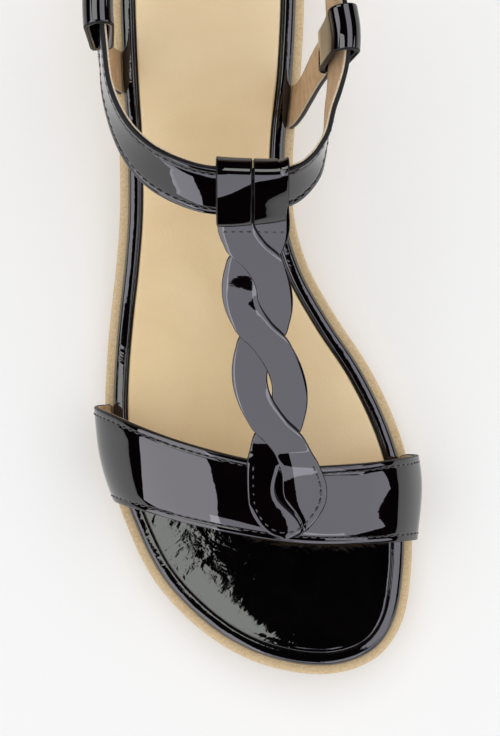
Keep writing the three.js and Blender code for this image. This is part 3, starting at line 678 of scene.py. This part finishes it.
def stitches_along(path, out, pitch=STITCH_PITCH, length=STITCH_LENGTH, margin=1.0):
    """Corners and faces of the stitches along a path."""
    steps = np.linalg.norm(np.diff(path, axis=0), axis=1)
    distance = np.concatenate([[0], np.cumsum(steps)])
    corners, faces = [], []
    sides, rings = 6, 5
    count = int((distance[-1] - 2 * margin) / pitch)
    for k in range(count):
        centre = margin + (k + 0.5) * (distance[-1] - 2 * margin) / count
        start = len(corners)
        for r in range(rings):
            u = (r / (rings - 1) - 0.5) * 2
            d = centre + u * length / 2
            spot, up = read_at(d, distance, path), unit(read_at(d, distance, out))
            ahead = read_at(d + 0.3, distance, path) - read_at(d - 0.3, distance, path)
            side = unit(np.cross(unit(ahead), up))
            radius = STITCH_THICKNESS / 2 * math.sqrt(max(0.06, 1 - u * u * 0.96))
            sunk = 0.02 - 0.22 * u * u
            for a in range(sides):
                angle = 2 * math.pi * a / sides
                rise = sunk + radius * math.sin(angle)
                corners.append(spot + up * rise + side * radius * math.cos(angle))
        faces += [tuple(start + v for v in face) for face in grid_faces(rings, sides, capped=True)]
    return corners, faces


def edge_seams(face, inset, height, rows=None):
    """Two rows of stitches along a strap, one beside each edge."""
    return [stitches_along(*seam_path(face, d, height, rows)) for d in (inset, -inset)]


def cross_seam(face, i, inset, height, points, **spacing):
    """A row of stitches across a strap."""
    across = np.linspace(inset, face["reach"][i][-1] - inset, points)
    out = face["out"][i][face["out"].shape[1] // 2]
    path = over_face(face, i, across, np.full(points, height))
    return stitches_along(path, np.array([out] * points), **spacing)


def add_seams(name, seams):
    """One piece from several rows of stitches."""
    corners, faces = [], []
    for more_corners, more_faces in seams:
        faces += [tuple(v + len(corners) for v in face) for face in more_faces]
        corners += more_corners
    add_piece(name, corners, faces, [thread], crease=80)


# %% [markdown]
# ## Toe strap
# The toe strap goes over the ball of the foot from one side of the sole to the other. Its ends pass down
# beside the footbed and are glued in under it. The arch over the foot is a flattened circle between the
# sole's edge and the ridge of the last. The real strap is drawn tight, so it lies a little flatter than
# the foot. A flat strip that is bent by a curve modifier would not keep its two edges on the foot.

# %% Surface of the foot
ROUNDNESS = 2.35
TUCK_RISE = 3.4
DRAW_IN_HEIGHT = 0.35
STRAP_BULGE_FRONT, STRAP_BULGE_REAR = 0.2, 2.4
TUCK_HEIGHTS = (-0.25, 0.6, 1.5, 2.5)


def arch_up(across):
    return (1 - np.minimum(1, np.abs(across)) ** ROUNDNESS) ** (1 / ROUNDNESS)


def ridge_height(at, height_at):
    return seat_height(at) + FOOTBED_THICKNESS + INSTEP_HEIGHT * instep_share(height_at)


def foot_point(at, across, up, bulge, height_at=None):
    """A point over the sole. across is -1 at the lateral edge, 0 on the ridge, 1 at the medial edge. The
    foot's height can be taken from another place along it."""
    side = "lateral" if across < 0 else "medial"
    ridge = ridge_share(at) * BALL_WIDTH
    edge = outline[side](turn_of(at)) * BALL_WIDTH - INWARDS[side] * bulge
    draw_in = (LIP_WIDTH - CLEARANCE + bulge) * max(0, 1 - up / DRAW_IN_HEIGHT) ** 2
    x = ridge + abs(across) * (edge + INWARDS[side] * draw_in - ridge)
    low = seat_height(at) + TUCK_RISE
    return np.array([x, at * LENGTH, low + up * (ridge_height(at, height_at or at) - low)])


def tuck_point(side, at, height):
    """A point of a strap's end on its way down beside the footbed."""
    x, y = inset_point(side, turn_of(at), LIP_WIDTH - CLEARANCE)
    return np.array([x, y, seat_height(y / LENGTH) + height])


# %% Toe strap
# across, rear edge, front edge
TOE_STRAP_EDGES = np.array([
    (-1, 0.313, 0.203), (-0.5, 0.272, 0.175), (0, 0.247, 0.158), (0.5, 0.247, 0.155), (1, 0.254, 0.156)])
strap_rear = curve_through(TOE_STRAP_EDGES[:, 0], TOE_STRAP_EDGES[:, 1])
strap_front = curve_through(TOE_STRAP_EDGES[:, 0], TOE_STRAP_EDGES[:, 2])
ACROSS_COUNT = 13
across_shares = np.linspace(0, 1, ACROSS_COUNT)


def toe_strap_places(across):
    return strap_front(across) + (strap_rear(across) - strap_front(across)) * across_shares


STRAP_LEVELLING = 0.22


def levelled(at, across):
    """The strap lies a little flatter than the foot, so it takes its height from nearer its middle."""
    return at - STRAP_LEVELLING * (at - (strap_front(across) + strap_rear(across)) / 2)


def toe_strap_rows(arch_steps=150):
    bulges = STRAP_BULGE_FRONT + (STRAP_BULGE_REAR - STRAP_BULGE_FRONT) * across_shares
    rows = [[tuck_point("lateral", at, h) for at in toe_strap_places(-1)] for h in TUCK_HEIGHTS]
    for swing in np.linspace(-math.pi / 2, math.pi / 2, arch_steps + 1):
        across = math.copysign(abs(math.sin(swing)) ** (2 / ROUNDNESS), swing)
        places = toe_strap_places(across)
        rows.append([foot_point(at, across, arch_up(across), b, levelled(at, across))
                     for at, b in zip(places, bulges)])
    return rows + [[tuck_point("medial", at, h) for at in toe_strap_places(1)] for h in TUCK_HEIGHTS[::-1]]


SEAM_INSET = 2.0
toe_face = strap_face(toe_strap_rows(), smoothing=6)
lined_strap("toe_strap", toe_face, SEAM_INSET, ["t_strap_upper"], wave=0.16)
seam_height = STRAP_THICKNESS - 0.1
seam_rows = range(3, len(toe_face["points"]) - 3)
add_seams("toe_strap_stitches", edge_seams(toe_face, SEAM_INSET, seam_height, seam_rows))

# %% [markdown]
# ## Twisted bar
# Two strips of patent leather run side by side up from a rounded tongue on the toe strap, and cross over
# and under each other twice before they fold round the ankle strap. A sine wave would give an even braid.
# The real one is looser below and tighter above, so the crossings are a small table: how far to the side
# a strip lies, and whether it runs over (1) or under (-1) the other. On the toe strap the two strips share
# one round outline, the tongue, and a row of stitches follows it. Behind the strap the bar is drawn tight,
# so it runs straight to the ankle and not along the foot.

# %% Twisted bar
# at, side, level
STRAND_COURSE = np.array([
    (0.162, 1.03, 0), (0.246, 1.03, 0), (0.272, 0.45, 0.9), (0.296, -0.45, 0.9), (0.338, -1.13, 0),
    (0.381, -0.45, -0.9), (0.405, 0.45, -0.9), (0.439, 1, 0), (0.472, 0.45, 0.9), (0.492, -0.45, 0.9),
    (0.511, -0.97, 0.75), (0.536, -1, 0.6)])
STRAND_WIDTH = 9.8
STRAND_SPREAD = 4.8
STRAND_THICKNESS = 1.35
STRAND_LIFT = 0.75
INSTEP_BREADTH = 0.42
TONGUE_SHARE = 1.1
TONGUE_TOP = 0.262
TONGUE_SWELL = {-1: 0.8, 1: 2.4}
SWELL_MIDDLE = 0.217
SWELL_REACH = 0.045
SPLIT_LEAST = 0.9
BAR_DIP = 8.5
# where the line between the two strips runs beside the tongue's middle
tongue_split = curve_through((0.162, 0.168, 0.179, 0.209, 0.243, TONGUE_TOP), (1, 4.2, 4.2, -1.2, -0.7, 0))
strand_side = curve_through(STRAND_COURSE[:, 0], STRAND_COURSE[:, 1])
strand_level = curve_through(STRAND_COURSE[:, 0], STRAND_COURSE[:, 2])
BAR_START, BAR_END = STRAND_COURSE[0, 0], STRAND_COURSE[-1, 0]


def smooth_step(x, low, high):
    u = np.clip((x - low) / (high - low), 0, 1)
    return u * u * (3 - 2 * u)


def bar_height(at):
    behind = smooth_step((at - strap_rear(0)) * LENGTH, -1, BAR_DIP - 1)
    return (STRAP_THICKNESS - 0.05) * (1 - behind) + STRAP_THICKNESS / 2 * behind


def bar_drop(at):
    """How far the bar lies off the foot: on the strap it follows that, behind it it's drawn straight."""
    start = min(at, TONGUE_TOP)
    share = (at - start) / (BAR_END - TONGUE_TOP)
    strap_height = ridge_height(start, levelled(start, 0))
    return (1 - share) * strap_height + share * ridge_height(BAR_END, BAR_END) - ridge_height(at, at)


def bar_point(at, offset, rise):
    """A point over the ridge of the foot, at an offset to the medial side."""
    ridge = ridge_share(at) * BALL_WIDTH
    foot_side = abs(foot_point(at, math.copysign(1, offset), 1, STRAP_BULGE_FRONT)[0] - ridge)
    breadth = max(foot_side, INSTEP_BREADTH * BALL_WIDTH)
    point = foot_point(at, 0, arch_up(offset / breadth), STRAP_BULGE_FRONT)
    return point + np.array([offset, 0, rise + bar_drop(at)])


def strand_span(mirror, at):
    """Where a strip's two edges lie beside the middle. Both strips are cut round at the tongue's tip."""
    centre = mirror * strand_side(at) * STRAND_SPREAD
    turn = (strand_side(at + 0.001) - strand_side(at - 0.001)) / 0.002
    half = STRAND_WIDTH / 2 * math.hypot(1, turn * STRAND_SPREAD / LENGTH)
    if at > TONGUE_TOP:
        return centre - half, centre + half
    swell = TONGUE_SWELL[mirror] * max(0, 1 - ((at - SWELL_MIDDLE) / SWELL_REACH) ** 2) ** 2
    from_tip = (at - BAR_START) * LENGTH + 0.1
    round_in = math.sqrt(1 - max(0, 1 - from_tip / (TONGUE_SHARE * STRAND_WIDTH)) ** 2)
    reach = (STRAND_SPREAD + STRAND_WIDTH / 2 + swell) * round_in
    outer, inner = centre + mirror * (half + swell), centre - mirror * half + tongue_split(at)
    outer = mirror * min(mirror * outer, reach)
    inner = mirror * min(max(mirror * inner, -reach), mirror * outer - SPLIT_LEAST)
    return min(outer, inner), max(outer, inner)


def strand_rows(mirror, steps=230, columns=11):
    rows = []
    for at in np.linspace(BAR_START, BAR_END, steps + 1):
        lift = mirror * strand_level(at) * STRAND_LIFT
        low, high = strand_span(mirror, at)
        offsets = np.linspace(high, low, columns)
        rows.append([bar_point(at, offset, bar_height(at) + lift) for offset in offsets])
    return rows


strands = []
for name, mirror in (("bar_strand_a", 1), ("bar_strand_b", -1)):
    strand_face = strap_face(strand_rows(mirror), smoothing=3)
    strands.append(strand_face)
    leather(name, strand_face, [], wave=0.09, thickness=STRAND_THICKNESS)

# %% Stitches of the bar
# One row runs round the tongue, and a short one crosses each strip below its sleeve.
TONGUE_SEAM = 0.254
TONGUE_SEAM_INSET = 1.8
SLEEVE_SEAM = 0.509
outline_ats = np.linspace(TONGUE_SEAM, BAR_START, 60)
tongue_outline = np.array([(strand_span(-1, at)[0], at * LENGTH) for at in outline_ats]
                          + [(strand_span(1, at)[1], at * LENGTH) for at in outline_ats[::-1]])
tangent = unit(np.gradient(tongue_outline, axis=0))
tongue_seam = tongue_outline + np.column_stack([-tangent[:, 1], tangent[:, 0]]) * TONGUE_SEAM_INSET


def bar_base(offset, y):
    return bar_point(y / LENGTH, offset, bar_height(y / LENGTH))


def bar_normal(offset, y):
    along = bar_base(offset, y + 0.5) - bar_base(offset, y - 0.5)
    return unit(np.cross(bar_base(offset + 0.5, y) - bar_base(offset - 0.5, y), along))


tongue_out = np.array([bar_normal(*place) for place in tongue_seam])
tongue_path = np.array([bar_base(*place) for place in tongue_seam]) + tongue_out * (STRAND_THICKNESS + 0.04)
bar_seams = [stitches_along(tongue_path, tongue_out)]
for strand_face in strands:
    row = round((SLEEVE_SEAM - BAR_START) / (BAR_END - BAR_START) * (len(strand_face["points"]) - 1))
    bar_seams.append(cross_seam(strand_face, row, 0.9, STRAND_THICKNESS - 0.02, 9,
                                pitch=1.9, length=1.6, margin=0.1))
add_seams("bar_stitches", bar_seams)

# %% [markdown]
# ## Ankle strap
# The ankle strap is one band that runs round the ankle. It leans inwards over the instep, stands upright
# at the sides and leans out a little on the medial side. Its middle line is a closed curve through a
# table of places, and a fourth column tilts the band. The two ends are lapped and sewn at the lateral
# side, behind the quarter strap.

# %% Course of the ankle strap
# across as a share of half the ankle's width, along as a share of the length, up as a share of the
# ankle's height, and the lean of the strap's top towards the foot in degrees
ANKLE_COURSE = np.array([
    (0.263, 0.5503, 0.902, 42), (-0.034, 0.55, 0.902, 49), (-0.266, 0.5564, 0.904, 46),
    (-0.498, 0.5704, 0.908, 40), (-0.682, 0.591, 0.914, 29), (-0.834, 0.621, 0.926, 17),
    (-0.934, 0.659, 0.943, 9), (-0.965, 0.7, 0.958, 5), (-0.985, 0.76, 0.982, 4),
    (-0.905, 0.832, 1.01, 4), (-0.62, 0.9, 1.034, 6), (-0.13, 0.942, 1.05, 8), (0.4, 0.925, 1.043, 6),
    (0.76, 0.87, 1.023, 0), (0.905, 0.8, 0.997, -8), (0.945, 0.752, 0.979, -14), (0.972, 0.72, 0.966, -17),
    (0.966, 0.688, 0.953, -15), (0.936, 0.662, 0.943, -10), (0.9, 0.64, 0.934, -5),
    (0.873, 0.616, 0.924, -1), (0.835, 0.6, 0.918, 4), (0.79, 0.586, 0.913, 11), (0.715, 0.5705, 0.908, 22),
    (0.578, 0.556, 0.904, 33), (0.46, 0.552, 0.903, 37)])
ANKLE_CENTRE = 0.048
ANKLE_STRAP_WIDTH = 16
ANKLE_LAP = 22
LAP_THICKNESS = 1.35


def closed_curve(knots, per_knot=40):
    """Points of a smooth closed curve through knots of any number of columns."""
    before, after, beyond = np.roll(knots, 1, 0), np.roll(knots, -1, 0), np.roll(knots, -2, 0)
    u = (np.arange(per_knot) / per_knot)[None, :, None]
    p, q = knots[:, None], after[:, None]
    leave, arrive = (q - before[:, None]) / 2, (beyond[:, None] - p) / 2
    points = (p * (1 + 2 * u) * (1 - u) ** 2 + q * u * u * (3 - 2 * u)
              + leave * u * (1 - u) ** 2 - arrive * u * u * (1 - u))
    return points.reshape(-1, knots.shape[1])


ankle_knots = np.column_stack([
    ANKLE_CENTRE * BALL_WIDTH + ANKLE_COURSE[:, 0] * ANKLE_WIDTH / 2,
    ANKLE_COURSE[:, 1] * LENGTH, ANKLE_COURSE[:, 2] * ANKLE_HEIGHT, ANKLE_COURSE[:, 3]])
ankle_curve = smoothed(closed_curve(ankle_knots), 60, is_loop=True)
ankle_steps = np.linalg.norm((np.roll(ankle_curve, -1, 0) - ankle_curve)[:, :3], axis=1)
ankle_reach = np.concatenate([[0], np.cumsum(ankle_steps)])
ankle_closed = np.vstack([ankle_curve, ankle_curve[:1]])
ANKLE_GIRTH = ankle_reach[-1]
print("ankle strap:", round(ANKLE_GIRTH, 1), "mm round")


# %% Places on the ankle strap
LINE_SAMPLES = 400


def ankle_line(distance):
    return read_at(np.mod(distance, ANKLE_GIRTH), ankle_reach, ankle_closed)


def ankle_place(distance, out, up):
    """A point beside the ankle strap's middle line: so far out of its face and up along it."""
    x, y, z, lean = ankle_line(distance)
    along = unit(ankle_line(distance + 0.7)[:3] - ankle_line(distance - 0.7)[:3])
    sideways = unit(np.cross((0, 0, 1), along))
    upright = np.cross(along, sideways)
    lean = math.radians(lean)
    out_dir = sideways * math.cos(lean) + upright * math.sin(lean)
    up_dir = upright * math.cos(lean) - sideways * math.sin(lean)
    return np.array([x, y, z]) + out_dir * out + up_dir * up


def ankle_distance(side, along):
    """Distance along the strap at which it passes a place along the foot, on one side."""
    distances = np.arange(LINE_SAMPLES) * ANKLE_GIRTH / LINE_SAMPLES
    line = np.array([ankle_line(d) for d in distances])
    on_side = (line[:, 0] - ANKLE_CENTRE * BALL_WIDTH) * INWARDS[side] < 0
    miss = np.where(on_side, np.abs(line[:, 1] - along * LENGTH), 1e9)
    return distances[np.argmin(miss)]


# %% Ankle strap
QUARTER_TOP = {"lateral": 0.738, "medial": 0.711}
QUARTER_FOOT = {"lateral": 0.698, "medial": 0.658}
QUARTER_SHIFT = {"lateral": 1.1, "medial": -0.8}
QUARTER_WIDTH = 12.2


def ankle_rows(start, stop, out, half, steps, columns=9):
    ups = np.linspace(half, -half, columns)
    return [[ankle_place(d, out, up) for up in ups] for d in np.linspace(start, stop, steps, endpoint=False)]


ankle_face = strap_face(
    ankle_rows(0, ANKLE_GIRTH, -STRAP_THICKNESS / 2, ANKLE_STRAP_WIDTH / 2, 380), is_loop=True)
lined_strap("ankle_band", ankle_face, SEAM_INSET, ["ankle_strap"], wave=0.1)

lap_start = ankle_distance("lateral", QUARTER_TOP["lateral"]) + QUARTER_WIDTH
lap_rows = ankle_rows(lap_start, lap_start + ANKLE_LAP, STRAP_THICKNESS / 2, ANKLE_STRAP_WIDTH / 2, 40)
lap_face = strap_face(lap_rows)
leather("ankle_lap", lap_face, [SEAM_INSET], wave=0.05, thickness=LAP_THICKNESS)
ankle_seams = edge_seams(ankle_face, SEAM_INSET, seam_height)
# Two short rows cross the lap near its ends, and two run along it.
ankle_seams += [cross_seam(lap_face, row, SEAM_INSET, LAP_THICKNESS - 0.1, 13, margin=0.2) for row in (3, 36)]
ankle_seams += edge_seams(lap_face, SEAM_INSET, LAP_THICKNESS - 0.07)
add_seams("ankle_stitches", ankle_seams)

# %% [markdown]
# ## Sleeves at the top of the bar
# The two strips of the bar fold over the ankle strap and are sewn down below it, so the strap can slide
# through. Each fold is a wall round the strap's section, a little larger than the strap. It is made as
# closed loops: out along the face, round the end, and back inside, so the wall has a true thickness. The
# lower half of its front swells, as a roll of leather does, and that half catches the front light.


# %% Wall round the ankle strap
def rounded_section(margin, corner, swell=0, steps=6):
    """A rectangle with round corners round the strap's section, as places out and up. A swell pushes the
    lower half of its front face out and draws the upper half back."""
    lean = 0.8 * swell
    out, up = STRAP_THICKNESS / 2 + margin, ANKLE_STRAP_WIDTH / 2 + margin
    section = []
    for quarter, (a, b) in enumerate(((1, 1), (-1, 1), (-1, -1), (1, -1))):
        for c, s in bend(steps, 90 * quarter, 90 * quarter + 90):
            section.append((a * (out - corner) + corner * c, b * (up - corner) + corner * s))
    section += [(out, (up - corner) * share) for share in np.linspace(-1, 1, 11)[1:-1]]
    return [(o + swell * (1 - 2 * max(0, u / up) ** 2) - lean * u / up if o > 0 else o, u)
            for o, u in section]


def square_place(distance, out, up):
    """As ankle_place, but slid along the strap into the plane that cuts it at the distance."""
    plane = ankle_line(distance)[0]
    slid = distance
    for _ in range(3):
        slid += ankle_place(slid, out, up)[0] - plane
    return ankle_place(slid, out, up)


def fold_wall(name, start, stop, inner, outer, place, end_round=0.45, steps=26):
    """A wall between two sections, along the strap, with rounded ends."""
    inner, outer = np.array(inner), np.array(outer)
    middle = (inner + outer) / 2
    rounding = [(end_round * (1 - c), middle + (outer - middle) * s) for c, s in bend(4, 8, 90)]
    loops = [(start + d, section) for d, section in rounding]
    loops += [(d, outer) for d in np.linspace(start + end_round, stop - end_round, steps)]
    loops += [(stop - d, section) for d, section in rounding]
    loops += [(d, inner) for d in np.linspace(stop - 0.3, start + 0.3, 8)]
    corners = [[place(d, out, up) for out, up in section] for d, section in loops]
    faces = grid_faces(len(loops), len(inner), loop_rows=True)
    marks = [int(row < 3 or steps + 4 <= row < steps + 8) for row in range(len(loops))]
    add_piece(name, corners, faces, [patent, edge_paint], (), np.repeat(marks, len(inner)))


# %% Bar sleeves
BAR_SLEEVE_WIDTH = 20.2
BAR_SLEEVE_GAP = 0.14
SLEEVE_SLACK = 0.6
SLEEVE_WALL = 1.8
SLEEVE_SWELL = 0.72
SLEEVE_CORNERS = 1.2, 2.3
inner_section = rounded_section(SLEEVE_SLACK, SLEEVE_CORNERS[0])
outer_section = rounded_section(SLEEVE_SLACK + SLEEVE_WALL, SLEEVE_CORNERS[1], SLEEVE_SWELL)
sleeve_spans = [(-BAR_SLEEVE_WIDTH / 2, -BAR_SLEEVE_GAP / 2), (BAR_SLEEVE_GAP / 2, BAR_SLEEVE_WIDTH / 2)]
for name, (start, stop) in zip(("bar_sleeve_medial", "bar_sleeve_lateral"), sleeve_spans):
    fold_wall(name, start, stop, inner_section, outer_section, square_place)

# %% [markdown]
# ## Quarter straps
# A narrow strap on each side joins the ankle strap to the sole. Its top rolls over the ankle strap like a
# loop on a belt and is sewn to itself just below, so the roll has the section of a drop. Below it the
# strap runs down in a slight bow and in between footbed and sole.

# %% Quarter straps
QUARTER_RAKE = 0.42
QUARTER_BOW = 3
QUARTER_SEAM = 1.7
SLEEVE_ROLL = 4.2


def raked_place(side):
    return lambda distance, out, up: ankle_place(distance + INWARDS[side] * QUARTER_RAKE * up, out, up)


def drop_section(wall, shift):
    """A roll over the strap's top edge that closes below it, as places out and up."""
    half = ANKLE_STRAP_WIDTH / 2
    low, slim = half + 0.6, STRAP_THICKNESS / 2 + 0.6
    roll = SLEEVE_ROLL - STRAP_THICKNESS
    arc = [(shift + (roll + wall) * c, half - 0.25 * roll + (roll + wall) * s) for c, s in bend(19, 0, 180)]
    sides = (0.25, 0.5, 0.75)
    right = [(slim * 0.5 + wall, -low - wall), (slim + wall, -low)]
    left = [(-slim - wall, -low), (-slim * 0.5 - wall, -low - wall)]
    up_right = [tuple(np.array(right[1]) * (1 - s) + np.array(arc[0]) * s) for s in sides]
    down_left = [tuple(np.array(arc[-1]) * (1 - s) + np.array(left[0]) * s) for s in sides]
    return right + up_right + arc + down_left + left


def quarter_rows(side, columns=9, steps=60):
    distance = ankle_distance(side, QUARTER_TOP[side])
    start = -(ANKLE_STRAP_WIDTH + STRAP_THICKNESS) / 2 - 0.6
    place = raked_place(side)
    lines = []
    for share in np.linspace(-1, 1, columns):
        beside = distance + INWARDS[side] * share * QUARTER_WIDTH / 2
        head, above = place(beside, -STRAP_THICKNESS / 2, start), place(beside, -STRAP_THICKNESS / 2, 0)
        at = QUARTER_FOOT[side] + share * QUARTER_WIDTH / 2 / LENGTH
        base = tuck_point(side, at, TUCK_RISE)
        reach = np.linalg.norm(head - base) / 3
        leave = head + unit(head - above) * reach
        arrive = base + np.array([-INWARDS[side] * QUARTER_BOW, 0, reach])
        u = np.linspace(0, 1, steps)[:, None]
        line = (head * (1 - u) ** 3 + leave * 3 * u * (1 - u) ** 2 + arrive * 3 * u * u * (1 - u)
                + base * u ** 3)
        lines.append(np.vstack([line, [tuck_point(side, at, h) for h in (2.4, 1.4, 0.5, -0.25)]]))
    rows = np.stack(lines, 1)
    return rows if side == "medial" else rows[:, ::-1]


quarter_seams = []
for side in ("medial", "lateral"):
    quarter_face = strap_face(quarter_rows(side), smoothing=2)
    lined_strap(f"quarter_{side}", quarter_face, QUARTER_SEAM, [f"quarter_strap_{side}"], wave=0.08)
    start = ankle_distance(side, QUARTER_TOP[side]) - QUARTER_WIDTH / 2
    fold_wall(f"quarter_loop_{side}", start, start + QUARTER_WIDTH, drop_section(0.25, QUARTER_SHIFT[side]),
              drop_section(STRAP_THICKNESS, QUARTER_SHIFT[side]), raked_place(side))
    quarter_seams += edge_seams(quarter_face, QUARTER_SEAM, seam_height, range(2, 60))
add_seams("quarter_stitches", quarter_seams)

# %% [markdown]
# ## Floor and light
# Black patent leather shows the studio itself, so the lights are as much a part of its look as the
# finish. Wide, dim panels give flat grey-lilac patches with clear edges and deep black between them.
# Small bright lamps would only give hot dots. So the panels show in the gloss alone, and a wide ceiling
# and a pale sky, which show in no gloss, light the soft finishes and the floor. The floor is a wide pale
# sheet that glows a little, which keeps it even and its shadows light.

# %% Floor
floor_finish = finish("pale_floor", (0.75, 0.75, 0.75), 0.7, Emission_Color=(1, 1, 1, 1),
                      Emission_Strength=0.175)
mottle(floor_finish, grain(floor_finish, 3, 2), [(0.3, (0.745,) * 3), (0.7, (0.755,) * 3)])
FLOOR_HALF = 3.0
floor_mesh = bpy.data.meshes.new("floor")
floor_mesh.from_pydata([(x * FLOOR_HALF, y * FLOOR_HALF, 0) for x, y in ((-1, -1), (1, -1), (1, 1), (-1, 1))],
                       [], [(0, 1, 2, 3)])
floor_mesh.materials.append(floor_finish)
floor = bpy.data.objects.new("floor", floor_mesh)
bpy.context.collection.objects.link(floor)

# %% World and view
world = bpy.data.worlds.new("studio")
world.use_nodes = True
world.node_tree.nodes["Background"].inputs["Color"].default_value = (1, 1, 1, 1)
world.node_tree.nodes["Background"].inputs["Strength"].default_value = 0.5
world.cycles_visibility.glossy = False
bpy.context.scene.world = world
bpy.context.scene.view_settings.view_transform = "Standard"


# %% Light panels
PANEL_DISTANCE = 1.7


def panel(name, across, along, wide, tall, radiance, colour=(0.9, 0.88, 1.0), mirrored=True):
    """A soft box that faces the shoe. across (to the medial side) and along (to the heel) are the
    degrees that it is tipped away from straight above, wide and tall the degrees that it covers, and
    radiance how bright its face is. A panel that isn't mirrored lights the shoe but shows in no gloss."""
    tip, bearing = math.radians(math.hypot(across, along)), math.atan2(across, along)
    back = Vector((math.sin(bearing) * math.sin(tip), math.cos(bearing) * math.sin(tip), math.cos(tip)))
    level_axis = (Vector((1, 0, 0)) - back * back.x).normalized()
    tall_axis = back.cross(level_axis)
    data = bpy.data.lights.new(name, "AREA")
    data.shape = "RECTANGLE"
    data.size, data.size_y = (2 * PANEL_DISTANCE * math.tan(math.radians(a) / 2) for a in (wide, tall))
    data.color = colour
    data.energy = radiance * math.pi * data.size * data.size_y
    lamp = bpy.data.objects.new(name, data)
    turn = Matrix((level_axis, tall_axis, back)).transposed().to_4x4()
    lamp.matrix_world = Matrix.Translation(back * PANEL_DISTANCE) @ turn
    lamp.visible_camera = False
    lamp.visible_glossy = mirrored
    lamp.visible_diffuse = not mirrored
    bpy.context.collection.objects.link(lamp)


panel("front_panel", 4, -55, 48, 25, 2.0)
panel("right_panel", 40, -30.5, 70, 20, 2.1)
panel("left_panel", -43, -38, 42, 48, 2.7, (0.95, 0.92, 1.0))
panel("upper_left_panel", -23, 0, 34, 22, 2.8, (0.93, 0.96, 0.92))
panel("low_left_panel", -36, -80, 22, 16, 2.6)
panel("low_right_panel", 60, -76, 50, 16, 1.2)
panel("toe_rim_panel", 33, 2, 34, 35, 2.3)
panel("ceiling", 2, 6, 84, 84, 1.0, (1, 1, 1), mirrored=False)
